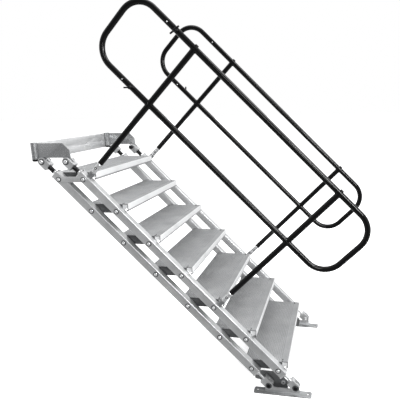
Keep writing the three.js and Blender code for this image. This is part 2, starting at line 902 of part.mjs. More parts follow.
function railEnd() {
  const loop = railLoop(-clearance, -railUphillEnd, -1);
  const spigots = Object.values(railRises).map((rise) => rodAlong(
    spigotRadius,
    -spigotRoot,
    spigotInsertion,
    tubeSides,
  ).translate([0, 0, rise]));
  const buttons = Object.values(railRises).map((rise) => rodX(
    buttonRadius,
    2 * (railRadius + buttonHeight),
    boltSides,
  ).translate([0, buttonFromJoint, rise]));
  const bores = Object.values(railRises).map((rise) => rodAlong(
    spigotRadius - spigotWall,
    railBend - railUphillEnd,
    spigotInsertion + overrun,
    tubeSides,
  ).translate([0, 0, rise]));
  return joined([loop, ...spigots]).subtract(joined(bores)).add(joined(buttons));
}

// A wing screw of the left side, with its axis on x, its tip at the spigot and its wings outside the boss.
function wingScrew() {
  const tip = -spigotRadius - 2 * clearance;
  const hubTop = -bossReach - clearance;
  const stem = rodUp(screwRadius, hubTop - wingStem, tip, boltSides);
  const hub = rodUp(wingHubRadius, hubTop - wingStem, hubTop, boltSides);
  const low = hubTop - wingHeight;
  const high = hubTop - wingThickness;
  const earIn = wingSpan / 2 - 2 * wingThickness;
  const outline = rounded([
    [-wingSpan / 2, low, wingCorner],
    [-earIn, low, wingCorner],
    [0, high - wingThickness],
    [earIn, low, wingCorner],
    [wingSpan / 2, low, wingCorner],
    [wingSpan / 2, high, wingCorner],
    [0, hubTop],
    [-wingSpan / 2, high, wingCorner],
  ]);
  return joined([stem, hub, sidePlate(outline, wingThickness)]).rotate([0, 90, 0]);
}

function postSocket() {
  const bottom = tubeSize / 2 + clearance;
  return upright(turned([
    [postHole, bottom],
    [socketBaseRadius, bottom],
    [socketBaseRadius, bottom + socketBaseHeight],
    [socketRadius, bottom + socketBaseHeight],
    [socketRadius, bottom + socketHeight],
    [postHole, bottom + socketHeight],
    [postHole, bottom],
  ], tubeSides));
}

function postClamp() {
  const bottom = tubeSize / 2 + clearance + socketHeight + stackGap;
  const ring = rodUp(clampRadius, bottom, bottom + clampHeight, tubeSides);
  const bolt = rodX(clampBoltRadius, 2 * (clampRadius + clampBoltHeight), boltSides)
    .translate([0, 0, bottom + clampBoltRise]);
  const hole = rodUp(postHole, bottom - overrun, bottom + clampHeight + overrun, tubeSides);
  return ring.add(bolt).subtract(hole);
}

function addHandrails(frame) {
  const bottom = tubeSize / 2 + clearance;
  const stack = {
    post_socket: { body: postSocket(), finish: 'darkSteel' },
    post_clamp: { body: postClamp(), finish: 'darkSteel' },
    post_spigot: { body: rodUp(postSpigotRadius, bottom, postSpigotEnd, tubeSides), finish: 'bright' },
  };
  const ends = ['uphill', 'downhill'];
  Object.keys(sides).forEach((side) => {
    const x = planeX(side, tubeSize / 2);
    const facing = (body) => (side === 'left' ? body : body.mirror([1, 0, 0]));
    place(frame, `handrail_${side}`, facing(handrail()), 'black', [x, 0, 0]);
    place(frame, `rail_end_${side}`, railEnd(), 'black', [x, 0, 0]);
    postRuns.forEach((run, index) => {
      Object.entries(stack).forEach(([name, { body, finish }]) => {
        place(frame, `${name}_${side}_${ends[index]}`, body, finish, [x, -run, 0]);
      });
    });
    Object.entries(railRises).forEach(([rail, rise]) => {
      const screw = facing(wingScrew()).rotate([wingTurns[side][rail], 0, 0]);
      place(frame, `wing_screw_${side}_${rail}`, screw, 'blackSteel', [x, -screwFromJoint, rise]);
    });
  });
}

addBracket();
Object.entries(frames).forEach(([tier, frame]) => addTubes(tier, frame));
treadSteps.forEach(addTread);
Object.keys(sides).forEach(addFoot);
addHandrails(frames.upper);

export default stairs;
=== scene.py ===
"""Looks of a set of stage stairs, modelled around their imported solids.

A piece is modelled in millimetres in the frame of what carries it, then set in place in metres.
In such a frame x runs across the stairs, y uphill and z up or square to the tubes. Pieces of one side
are modelled for the left side, where x is 0 in the middle of the tubes, and mirrored for the right.
"""

import json
import logging
import math
from contextlib import contextmanager
from dataclasses import dataclass, field
from enum import Enum
from typing import Callable, Iterable, Iterator, Sequence

import bmesh
import bpy
from mathutils import Matrix, Vector

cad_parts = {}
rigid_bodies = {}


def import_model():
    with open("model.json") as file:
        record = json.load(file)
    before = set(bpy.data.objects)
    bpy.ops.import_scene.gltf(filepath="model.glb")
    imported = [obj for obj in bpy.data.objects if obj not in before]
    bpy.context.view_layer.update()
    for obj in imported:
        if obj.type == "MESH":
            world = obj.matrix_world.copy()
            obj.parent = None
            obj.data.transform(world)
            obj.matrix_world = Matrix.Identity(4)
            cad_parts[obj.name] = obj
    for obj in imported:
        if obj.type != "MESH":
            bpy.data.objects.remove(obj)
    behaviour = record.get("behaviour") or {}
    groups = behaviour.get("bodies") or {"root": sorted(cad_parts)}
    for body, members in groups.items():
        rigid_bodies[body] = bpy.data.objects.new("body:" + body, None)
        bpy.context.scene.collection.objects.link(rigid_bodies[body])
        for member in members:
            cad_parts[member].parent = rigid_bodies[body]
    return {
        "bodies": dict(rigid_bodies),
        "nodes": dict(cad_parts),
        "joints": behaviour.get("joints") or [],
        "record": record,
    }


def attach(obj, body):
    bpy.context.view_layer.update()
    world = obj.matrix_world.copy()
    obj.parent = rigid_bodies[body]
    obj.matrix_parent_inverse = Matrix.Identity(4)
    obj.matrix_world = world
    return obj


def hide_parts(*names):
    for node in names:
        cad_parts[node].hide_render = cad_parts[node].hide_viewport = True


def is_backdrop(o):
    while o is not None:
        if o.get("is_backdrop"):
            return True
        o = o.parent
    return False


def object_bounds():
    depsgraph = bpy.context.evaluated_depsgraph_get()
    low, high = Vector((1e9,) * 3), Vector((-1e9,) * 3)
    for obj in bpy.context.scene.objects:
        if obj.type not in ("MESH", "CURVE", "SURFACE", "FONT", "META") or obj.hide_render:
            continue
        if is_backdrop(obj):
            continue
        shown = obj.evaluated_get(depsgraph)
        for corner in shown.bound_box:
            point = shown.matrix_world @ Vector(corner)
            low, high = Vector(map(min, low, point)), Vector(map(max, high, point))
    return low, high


LOG = logging.getLogger("stage_stairs")
METRE = 0.001
MERGE = 0.01
ROUND = 36
SMOOTH = math.radians(40)

Corner = tuple[float, float, float]
Ring = tuple[float, float]
Object = bpy.types.Object
Kit = dict[str, tuple[Object, "Finish"]]


class Side(Enum):
    """The two sides of the stairs, seen from their front."""

    LEFT = "left"
    RIGHT = "right"

    @property
    def sign(self) -> int:
        """-1 on the left and 1 on the right."""
        return -1 if self is Side.LEFT else 1


class Tier(Enum):
    """The two pairs of sloping tubes."""

    LOWER = "lower"
    UPPER = "upper"


class Place(Enum):
    """The two ends of the slope."""

    TOP = "top"
    FOOT = "foot"


class Lie(Enum):
    """How a flat outline lies: the directions of its own x, y and thickness."""

    SIDE = ((0, -1, 0), (0, 0, 1), (-1, 0, 0))
    PLAN = ((1, 0, 0), (0, -1, 0), (0, 0, -1))

    @property
    def matrix(self) -> Matrix:
        """The turn that lays an outline so."""
        return Matrix(self.value).transposed().to_4x4()


@dataclass(frozen=True)
class Layout:
    """Dimensions that the assemblies share."""

    width: float = 1000.0
    slope: float = math.radians(45)
    treads: int = 7
    pitch: float = 275.0
    spacing: float = 164.0
    lug_to_tread: float = 150.0
    tread_to_foot: float = 150.0
    reach: float = 76.0
    lug_drop: float = 56.0
    tube: float = 50.0
    gap: float = 0.3

    @property
    def foot_run(self) -> float:
        """How far down the tubes the foot pivots lie from the bracket's."""
        return self.lug_to_tread + (self.treads - 1) * self.pitch + self.tread_to_foot

    def tread_run(self, step: int) -> float:
        """How far down the tubes a tread's pivots lie."""
        return self.lug_to_tread + step * self.pitch

    def stage(self) -> Matrix:
        """The frame of the bracket."""
        return Matrix.Scale(METRE, 4)

    def pivot(self, tier: Tier) -> Matrix:
        """A level frame on the bracket pivots of a pair of tubes."""
        run = self.reach + (self.spacing if tier is Tier.UPPER else 0)
        return self.stage() @ Matrix.Translation((0, -run, -self.lug_drop))

    def tier(self, tier: Tier) -> Matrix:
        """The frame of a pair of tubes, on its bracket pivots and with y uphill along the tubes."""
        return self.pivot(tier) @ Matrix.Rotation(self.slope, 4, "X")

    def level(self, along: float) -> Matrix:
        """A level frame on a lower pivot.

        Args:
            along: how far down the tubes the pivot lies.

        Returns:
            The matrix from millimetres there to metres.
        """
        run = self.reach + along * math.cos(self.slope)
        rise = -self.lug_drop - along * math.sin(self.slope)
        return self.stage() @ Matrix.Translation((0, -run, rise))

    def sided(self, base: Matrix, side: Side) -> Matrix:
        """The frame of one side, mirrored on the right.

        Args:
            base: the frame of the whole assembly.
            side: the side.

        Returns:
            The matrix whose x is 0 in the middle of that side's tubes.
        """
        middle = side.sign * (self.width / 2 - self.tube / 2)
        mirror = Matrix.Scale(-side.sign, 4, (1, 0, 0))
        return base @ Matrix.Translation((middle, 0, 0)) @ mirror


class Value:
    """A socket in a material, with arithmetic on it."""

    def __init__(self, shader: "Shader", socket: bpy.types.NodeSocket) -> None:
        """Wraps a socket."""
        self.shader = shader
        self.socket = socket

    def _maths(self, operation: str, *terms: "Value | float") -> "Value":
        """Adds one Math node."""
        sockets = dict(enumerate(terms))
        return self.shader.node("ShaderNodeMath", {"operation": operation}, sockets)

    def __add__(self, other: "Value | float") -> "Value":
        """Adds a term."""
        return self._maths("ADD", self, other)

    def __mul__(self, other: "Value | float") -> "Value":
        """Multiplies by a term."""
        return self._maths("MULTIPLY", self, other)

    def spread(self, low: float, high: float) -> "Value":
        """Maps 0 to 1 onto a range."""
        return self * (high - low) + low

    def steep(self, low: float, high: float) -> "Value":
        """Maps a narrow range onto 0 to 1 and clamps it."""
        sockets = {"Value": self, "From Min": low, "From Max": high}
        return self.shader.node("ShaderNodeMapRange", {"clamp": True}, sockets)


class Shader:
    """One procedural material, built on its Principled shader."""

    def __init__(self, name: str) -> None:
        """Starts an empty material.

        Args:
            name: the material's name.
        """
        self.material = bpy.data.materials.new(name)
        self.material.use_nodes = True
        self.tree = self.material.node_tree
        self.surface = self.tree.nodes["Principled BSDF"]

    def node(self, kind: str, settings: dict, sockets: dict, output: int | str = 0) -> Value:
        """Adds a node.

        Args:
            kind: the node's type.
            settings: its properties, set first.
            sockets: what its inputs take, by name or place.
            output: which output is wanted.

        Returns:
            That output.
        """
        node = self.tree.nodes.new(kind)
        for name, setting in settings.items():
            setattr(node, name, setting)
        for key, given in sockets.items():
            self.feed(node.inputs[key], given)
        return Value(self, node.outputs[output])

    def feed(self, socket: bpy.types.NodeSocket, given: "Value | float | tuple") -> None:
        """Links or sets an input.

        Args:
            socket: the input.
            given: a value to link, or a number or colour to set.
        """
        if isinstance(given, Value):
            self.tree.links.new(given.socket, socket)
        else:
            socket.default_value = given

    def set(self, **given: "Value | float | tuple") -> None:
        """Feeds the shader's own sockets, named in lower case with underscores."""
        for name, value in given.items():
            self.feed(self.surface.inputs[name.replace("_", " ").title()], value)

    def place(self, scale: tuple[float, float, float]) -> Value:
        """Object coordinates, stretched."""
        spot = self.node("ShaderNodeTexCoord", {}, {}, "Object")
        return self.node("ShaderNodeMapping", {}, {"Vector": spot, "Scale": scale})

    def noise(self, scale: float, detail: float, stretch: tuple = (1.0, 1.0, 1.0)) -> Value:
        """Fractal noise between 0 and 1."""
        sockets = {"Vector": self.place(stretch), "Scale": scale, "Detail": detail}
        return self.node("ShaderNodeTexNoise", {}, sockets, "Fac")

    def spangle(self, scale: float) -> Value:
        """The flat shade of zinc crystals.

        Args:
            scale: crystals per metre.

        Returns:
            One shade for each crystal.
        """
        sockets = {"Vector": self.place((1.0, 1.0, 1.0)), "Scale": scale, "Randomness": 1.0}
        cells = self.node("ShaderNodeTexVoronoi", {}, sockets, "Color")
        return self.node("ShaderNodeSeparateColor", {}, {"Color": cells}, "Red")

    def blend(self, amount: Value, low: tuple, high: tuple) -> Value:
        """Mixes two colours."""
        sockets = {0: amount, 6: (*low, 1.0), 7: (*high, 1.0)}
        return self.node("ShaderNodeMix", {"data_type": "RGBA"}, sockets, 2)

    def bump(self, height: Value, depth: float) -> Value:
        """A bumped normal."""
        sockets = {"Height": height, "Distance": depth, "Strength": 1.0}
        return self.node("ShaderNodeBump", {}, sockets)


@dataclass(frozen=True)
class Galvanised:
    """Zinc-coated steel: clouds, fine crystals and dull patches."""

    slot: str
    dark: tuple[float, float, float]
    light: tuple[float, float, float]
    metallic: float = 0.7
    rough: tuple[float, float] = (0.38, 0.56)
    crystals: float = 160.0
    clouds: float = 11.0
    grains: float = 900.0
    depth: float = 0.00002

    def material(self) -> bpy.types.Material:
        """Makes the material.

        Returns:
            The material.
        """
        shader = Shader(self.slot)
        cloud = shader.noise(self.clouds, 5.0)
        crystal = shader.spangle(self.crystals)
        shade = cloud.steep(0.3, 0.7) * 0.8 + crystal * 0.2
        grain = shader.noise(self.grains, 2.0)
        shader.set(
            base_color=shader.blend(shade, self.dark, self.light),
            metallic=self.metallic,
            roughness=(cloud * 0.6 + crystal * 0.4).spread(*self.rough),
            normal=shader.bump(grain * 0.8 + crystal * 0.2, self.depth),
        )
        return shader.material


@dataclass(frozen=True)
class Drawn:
    """Bare metal with fine lines along one axis."""

    slot: str
    dark: tuple[float, float, float]
    light: tuple[float, float, float]
    metallic: float = 0.9
    rough: tuple[float, float] = (0.18, 0.34)
    stretch: tuple[float, float, float] = (0.04, 1.0, 1.0)
    lines: float = 1400.0
    smears: float = 24.0
    depth: float = 0.00003

    def material(self) -> bpy.types.Material:
        """Makes the material.

        Returns:
            The material.
        """
        shader = Shader(self.slot)
        lines = shader.noise(self.lines, 3.0, self.stretch)
        smear = shader.noise(self.smears, 4.0)
        shader.set(
            base_color=shader.blend(lines * 0.6 + smear * 0.4, self.dark, self.light),
            metallic=self.metallic,
            roughness=(lines * 0.5 + smear * 0.5).spread(*self.rough),
            normal=shader.bump(lines, self.depth),
        )
        return shader.material


@dataclass(frozen=True)
class Coated:
    """Powder coat: a soft ripple, faint dust and a gloss."""

    slot: str
    dark: tuple[float, float, float]
    light: tuple[float, float, float]
    rough: tuple[float, float] = (0.11, 0.15)
    metallic: float = 0.0
    depth: float = 0.0000001
    ior: float = 1.3
    ripples: float = 520.0
    dust: float = 30.0

    def material(self) -> bpy.types.Material:
        """Makes the material.

        Returns:
            The material.
        """
        shader = Shader(self.slot)
        ripple = shader.noise(self.ripples, 2.0)
        dust = shader.noise(self.dust, 5.0).steep(0.5, 0.8)
        shader.set(
            base_color=shader.blend(dust, self.dark, self.light),
            metallic=self.metallic,
            roughness=(dust * 0.5 + ripple * 0.5).spread(*self.rough),
            normal=shader.bump(ripple, self.depth),
        )
        shader.surface.inputs["IOR"].default_value = self.ior
        return shader.material


class Finish(Enum):
    """The finishes of the stairs."""

    ZINC = Galvanised("zinc_steel", (0.5, 0.505, 0.51), (0.68, 0.685, 0.69), 0.85, (0.3, 0.4))
    BASE = Galvanised("zinc_steel", (0.27, 0.275, 0.28), (0.38, 0.385, 0.39), 0.8, (0.34, 0.46))
    # The bracket's steel is drawn twice: painted shade on the ears and corner tubes, painted light on the
    # plate's face.
    DARK = Galvanised("dark_steel", (0.25, 0.255, 0.26), (0.37, 0.375, 0.38), rough=(0.2, 0.32))
    FACE = Galvanised("dark_steel", (0.56, 0.565, 0.57), (0.68, 0.685, 0.69), rough=(0.3, 0.42))
    # Painted shade: the end plates drawn nearly black where they fall in shade between the tubes.
    SHADE = Galvanised("dark_steel", (0.06, 0.062, 0.065), (0.12, 0.122, 0.125), 0.6, (0.4, 0.55))
    WEB = Galvanised("dark_steel", (0.14, 0.143, 0.147), (0.22, 0.223, 0.227), 0.7, (0.4, 0.5))
    DECK = Galvanised("deck_steel", (0.24, 0.243, 0.247), (0.31, 0.314, 0.318), 0.55, (0.45, 0.6), 240.0)
    # The nosing finish also paints light on the end plates' front corners.
    NOSING = Drawn("nosing_aluminium", (0.6, 0.605, 0.61), (0.74, 0.745, 0.75), 0.5, (0.36, 0.5))
    BRIGHT = Drawn("bright_steel", (0.7, 0.705, 0.71), (0.9, 0.905, 0.91), stretch=(1.0, 0.2, 1.0))
    # Painted shade: the dark washers round the bolt heads and the dark discs in the grip holes.
    WASHER = Drawn("dark_steel", (0.06, 0.062, 0.065), (0.14, 0.143, 0.147), 0.7, (0.35, 0.5))
    BLACK = Coated("black_paint", (0.0006, 0.0006, 0.0007), (0.0012, 0.0012, 0.0013))
    SCREW = Coated("black_screw", (0.006, 0.006, 0.007), (0.016, 0.016, 0.017), (0.32, 0.45), 0.3)


class Bench:
    """The modelling operators, and the record of finished pieces."""

    def __init__(self) -> None:
        """Starts with no material made."""
        self.materials: dict[Finish, bpy.types.Material] = {}
        self.pieces = 0

    def pick(self, *objects: Object) -> None:
        """Selects only these, the first of them active.

        Args:
            *objects: what is selected.
        """
        for other in list(bpy.context.selected_objects):
            other.select_set(False)
        for obj in objects:
            obj.select_set(True)
        bpy.context.view_layer.objects.active = objects[0]

    def settled(self) -> Object:
        """The new primitive, with its place in its mesh.

        Returns:
            The primitive.
        """
        obj = bpy.context.active_object
        self.pick(obj)
        bpy.ops.object.transform_apply(location=True, rotation=True, scale=True)
        return obj

    @contextmanager
    def editing(self, obj: Object) -> Iterator[None]:
        """Edit mode on one object, with all of it selected.

        Args:
            obj: the object.

        Returns:
            What a with statement takes.
        """
        self.pick(obj)
        bpy.ops.object.mode_set(mode="EDIT")
        bpy.ops.mesh.select_mode(type="VERT")
        bpy.ops.mesh.select_all(action="SELECT")
        try:
            yield
        finally:
            bpy.ops.object.mode_set(mode="OBJECT")

    def select(self, obj: Object, kind: str, test: Callable) -> None:
        """Selects what passes a test, in edit mode.

        Args:
            obj: the object in edit mode.
            kind: verts, edges or faces.
            test: tells whether an element is wanted.
        """
        mesh = bmesh.from_edit_mesh(obj.data)
        for element in (*mesh.verts, *mesh.edges, *mesh.faces):
            element.select = False
        for element in getattr(mesh, kind):
            if test(element):
                element.select_set(True)
        bmesh.update_edit_mesh(obj.data)

    def close(self, caps: bool = True) -> None:
        """Merges doubles, caps open ends and turns the faces outwards, in edit mode.

        Args:
            caps: whether open ends are capped.
        """
        bpy.ops.mesh.select_all(action="SELECT")
        bpy.ops.mesh.remove_doubles(threshold=MERGE)
        if caps:
            bpy.ops.mesh.fill_holes(sides=0)
        bpy.ops.mesh.normals_make_consistent(inside=False)

    def turned(self, rings: Sequence[Ring], sides: int = ROUND, ring: bool = False) -> Object:
        """A turned piece on the z axis.

        Args:
            rings: radius and height from one end to the other.
            sides: how many sides it has.
            ring: whether the last ring goes back to the first, round a bore.

        Returns:
            The piece.
        """
        radius, height = rings[0]
        bpy.ops.mesh.primitive_circle_add(vertices=sides, radius=radius, location=(0, 0, height))
        obj = self.settled()
        path = [*rings, rings[0]] if ring else list(rings)
        with self.editing(obj):
            for (before, low), (after, high) in zip(path, path[1:]):
                self.push(z=high - low)
                grow = after / before
                bpy.ops.transform.resize(value=(grow, grow, 1), center_override=(0, 0, high))
            self.close(caps=not ring)
        return obj

    def push(self, y: float = 0, z: float = 0) -> None:
        """Extrudes what is selected, in edit mode."""
        bpy.ops.mesh.extrude_region_move(TRANSFORM_OT_translate={"value": (0, y, z)})

    def plate(
        self, corners: Sequence[Corner], thickness: float, lie: Lie = Lie.SIDE, steps: int = 8
    ) -> Object:
        """A plate with rounded corners.

        Args:
            corners: along, across and radius of each corner, counter-clockwise.
            thickness: its thickness, centred on 0.
            lie: how the outline lies.
            steps: how many faces round a corner has.

        Returns:
            The plate.
        """
        bpy.ops.mesh.primitive_circle_add(vertices=len(corners), radius=1, fill_type="NGON")
        obj = self.settled()
        for vertex, (along, across, _) in zip(obj.data.vertices, corners):
            vertex.co = (along, across, -thickness / 2)
        with self.editing(obj):
            for index, (_, _, radius) in enumerate(corners):
                if radius > 0:
                    self.round_corner(obj, corners, index, steps)
            bpy.ops.mesh.select_all(action="SELECT")
            bpy.ops.mesh.remove_doubles(threshold=MERGE)
            self.push(z=thickness)
            self.close(caps=False)
        obj.data.transform(lie.matrix)
        return obj

    def round_corner(self, obj: Object, corners: Sequence[Corner], index: int, steps: int) -> None:
        """Bevels one corner of a flat outline, in edit mode.

        Args:
            obj: the outline.
            corners: all its corners.
            index: which one is rounded.
            steps: how many faces the round has.
        """
        along, across, radius = corners[index]
        here = Vector((along, across))
        before = Vector(corners[index - 1][:2]) - here
        after = Vector(corners[(index + 1) % len(corners)][:2]) - here
        reach = radius / math.tan(before.angle(after) / 2)
        self.select(obj, "verts", lambda v: (v.co.xy - here).length < MERGE)
        sizes = {"offset": reach, "segments": steps, "profile": 0.5, "clamp_overlap": False}
        bpy.ops.mesh.bevel(affect="VERTICES", **sizes)

    def box(self, size: tuple, centre: tuple = (0, 0, 0)) -> Object:
        """A block of a size along each axis, round its centre."""
        bpy.ops.mesh.primitive_cube_add(size=1, location=centre, scale=size)
        return self.settled()

    def modify(self, obj: Object, kind: str, **settings: object) -> Object:
        """Adds a modifier and applies it.

        Args:
            obj: the object.
            kind: the modifier's type.
            **settings: its settings.

        Returns:
            The object.
        """
        self.pick(obj)
        modifier = obj.modifiers.new(kind.lower(), kind)
        for name, setting in settings.items():
            setattr(modifier, name, setting)
        bpy.ops.object.modifier_apply(modifier=modifier.name)
        return obj

    def soften(self, obj: Object, width: float, segments: int = 2, angle: float = 35) -> Object:
        """Bevels the sharp edges."""
        limit = {"limit_method": "ANGLE", "angle_limit": math.radians(angle)}
        return self.modify(obj, "BEVEL", width=width, segments=segments, **limit)

    def cut(self, obj: Object, *tools: Object, keep: str = "DIFFERENCE") -> Object:
        """Cuts with other bodies, which go away.

        Args:
            obj: what is cut.
            *tools: what cuts.
            keep: the Boolean operation.

        Returns:
            The object.
        """
        for tool in tools:
            self.modify(obj, "BOOLEAN", operation=keep, object=tool, solver="EXACT")
            bpy.data.objects.remove(tool)
        return obj

    def moved(self, obj: Object, matrix: Matrix) -> Object:
        """Moves a piece inside its mesh.

        Args:
            obj: the piece.
            matrix: the move, which may mirror.

        Returns:
            The piece.
        """
        obj.data.transform(matrix)
        if matrix.determinant() < 0:
            obj.data.flip_normals()
        return obj

    def copied(self, obj: Object, matrix: Matrix) -> Object:
        """A copy with its own mesh, moved.

        Args:
            obj: what is copied.
            matrix: the move, which may mirror.

        Returns:
            The copy.
        """
        twin = obj.copy()
        twin.data = obj.data.copy()
        bpy.context.scene.collection.objects.link(twin)
        return self.moved(twin, matrix)

    def merged(self, *parts: Object) -> Object:
        """Joins parts into one piece.

        Args:
            *parts: what is joined.

        Returns:
            The first part, with the others in it.
        """
        self.pick(*parts)
        bpy.ops.object.join()
        return parts[0]

    def repeated(self, model: Object, places: Iterable[Matrix]) -> Object:
        """Copies of a model, which goes away, as one piece.

        Args:
            model: what is copied.
            places: where the copies go.

        Returns:
            The piece.
        """
        copies = [self.copied(model, place) for place in places]
        self.drop(model)
        return self.merged(*copies)

    def drilled(self, obj: Object, tool: Object, places: Iterable[Matrix]) -> Object:
        """Cuts with copies of a body, which goes away.

        Args:
            obj: what is cut.
            tool: what cuts.
            places: where it cuts.

        Returns:
            The object.
        """
        copies = [self.copied(tool, place) for place in places]
        self.drop(tool)
        return self.cut(obj, *copies)

    def drop(self, *objects: Object) -> None:
        """Deletes models that were only copied."""
        for obj in objects:
            bpy.data.objects.remove(obj)

    def finish(
        self, model: Object, name: str, finish: Finish, body: str, frame: Matrix, node: str | None
    ) -> None:
        """Sets a copy of a model in place, dresses it and hands it to its body.

        Args:
            model: what is copied.
            name: the piece's name.
            finish: its finish.
            body: the body that it rides on.
            frame: the frame that the model was made in.
            node: the solid that it stands for, if any.
        """
        obj = self.copied(model, frame)
        obj.name = name
        if finish not in self.materials:
            self.materials[finish] = finish.value.material()
            self.materials[finish].name = finish.name.lower()
        obj.data.materials.clear()
        obj.data.materials.append(self.materials[finish])
        self.pick(obj)
        bpy.ops.object.shade_smooth_by_angle(angle=SMOOTH)
        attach(obj, body)
        if node:
            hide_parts(node)
        self.pieces += 1
        LOG.info("%s rides on %s, %d faces", name, body, len(obj.data.polygons))

    def dress(self, kit: Kit, names: str, body: str, frame: Matrix, solids: dict | None = None) -> None:
        """Finishes a copy of every model of a kit.

        Args:
            kit: the models and their finishes, by kind.
            names: the pieces' names, with a star for the kind.
            body: the body that they ride on.
            frame: the frame that they were made in.
            solids: the solids that some kinds stand for.
        """
        for kind, (model, finish) in kit.items():
            node = (solids or {}).get(kind)
            self.finish(model, names.replace("*", kind), finish, body, frame, node)

    def clear(self, *kits: Kit) -> None:
        """Deletes the models of kits."""
        for kit in kits:
            self.drop(*(model for model, _ in kit.values()))


# Turns of a piece that is modelled on the z axis
OUTWARD = Matrix.Rotation(math.radians(-90), 4, "Y")
INWARD = Matrix.Rotation(math.radians(90), 4, "Y")
DOWNHILL = Matrix.Rotation(math.radians(90), 4, "X")
UPHILL = Matrix.Rotation(math.radians(-90), 4, "X")


def shifted(x: float = 0.0, y: float = 0.0, z: float = 0.0) -> Matrix:
    """A shift."""
    return Matrix.Translation((x, y, z))


@dataclass
class Fasteners:
    """Bolts, nuts and knobs, modelled once on the z axis with their seat at 0."""

    bench: Bench
    washer: float = 16.5
    sheet: float = 2.0
    head: float = 10.5
    head_height: float = 5.0
    nut: float = 9.6
    nut_length: float = 8.0
    thread: float = 5.0
    lug_washer: float = 20.0
    lug_sheet: float = 3.0
    lug_head: float = 12.5
    lug_head_height: float = 7.0
    lug_nut: float = 14.0
    lug_nut_length: float = 11.0
    lug_thread: float = 8.0
    bolt_end: float = 2.0
    knob: float = 14.0
    knob_length: float = 32.0
    flutes: int = 12

    def lug_ring(self) -> Object:
        """The washer of a bolt through a lug."""
        return self.round_washer(self.lug_washer, self.lug_sheet)

    def lug_button(self) -> Object:
        """The head of a bolt through a lug, on its washer."""
        return self.button_head(self.lug_head, self.lug_sheet, self.lug_head_height)

    def round_washer(self, radius: float, sheet: float) -> Object:
        """A flat washer with a softened rim."""
        return self.bench.turned([(radius, 0), (radius, sheet * 0.7), (radius * 0.96, sheet)])

    def button_head(self, radius: float, low: float, height: float) -> Object:
        """A domed head with a six-sided socket.

        Args:
            radius: the head's radius.
            low: where it starts, on its washer.
            height: its height.

        Returns:
            The head.
        """
        dome = [(1, 0), (1, 0.35), (0.96, 0.55), (0.85, 0.76), (0.7, 0.91), (0.52, 1)]
        head = self.bench.turned([(radius * wide, low + height * high) for wide, high in dome])
        recess = self.bench.turned([(radius * 0.34, low + height * 0.3), (radius * 0.34, 40)], 6)
        return self.bench.cut(head, recess)

    def hex_nut(self, radius: float, length: float, thread: float, end: float) -> Object:
        """A six-sided nut with its bolt end.

        Args:
            radius: over its corners.
            length: its length.
            thread: the bolt's radius.
            end: how far the bolt passes the nut.

        Returns:
            The nut.
        """
        bench = self.bench
        nut = bench.turned([(radius, 0), (radius, length)], 6)
        wide, narrow = radius * 1.02, radius * 0.93
        cone = [(narrow, -1), (wide, 1), (wide, length - 1), (narrow, length + 0.6)]
        bench.cut(nut, bench.turned(cone), keep="INTERSECT")
        tip = [(thread, length - 1), (thread, length + end - 0.8), (thread * 0.85, length + end)]
        return bench.merged(nut, bench.turned(tip, 20))

    def grip_knob(self) -> Object:
        """A round knob with grip flutes.

        Returns:
            The knob.
        """
        bench, radius, length, count = self.bench, self.knob, self.knob_length, self.flutes
        rings = [(radius * 0.8, 0), (radius * 0.8, 3), (radius, 5), (radius, length - 4)]
        rings += [(radius * 0.93, length - 1.4), (radius * 0.78, length)]
        flute = bench.turned([(2.2, 7), (2.2, length - 6)], 12)
        turns = [Matrix.Rotation(2 * math.pi * i / count, 4, "Z") for i in range(count)]
        flutes = bench.repeated(flute, [turn @ shifted(x=radius + 0.9) for turn in turns])
        return bench.cut(bench.turned(rings, 48), flutes)


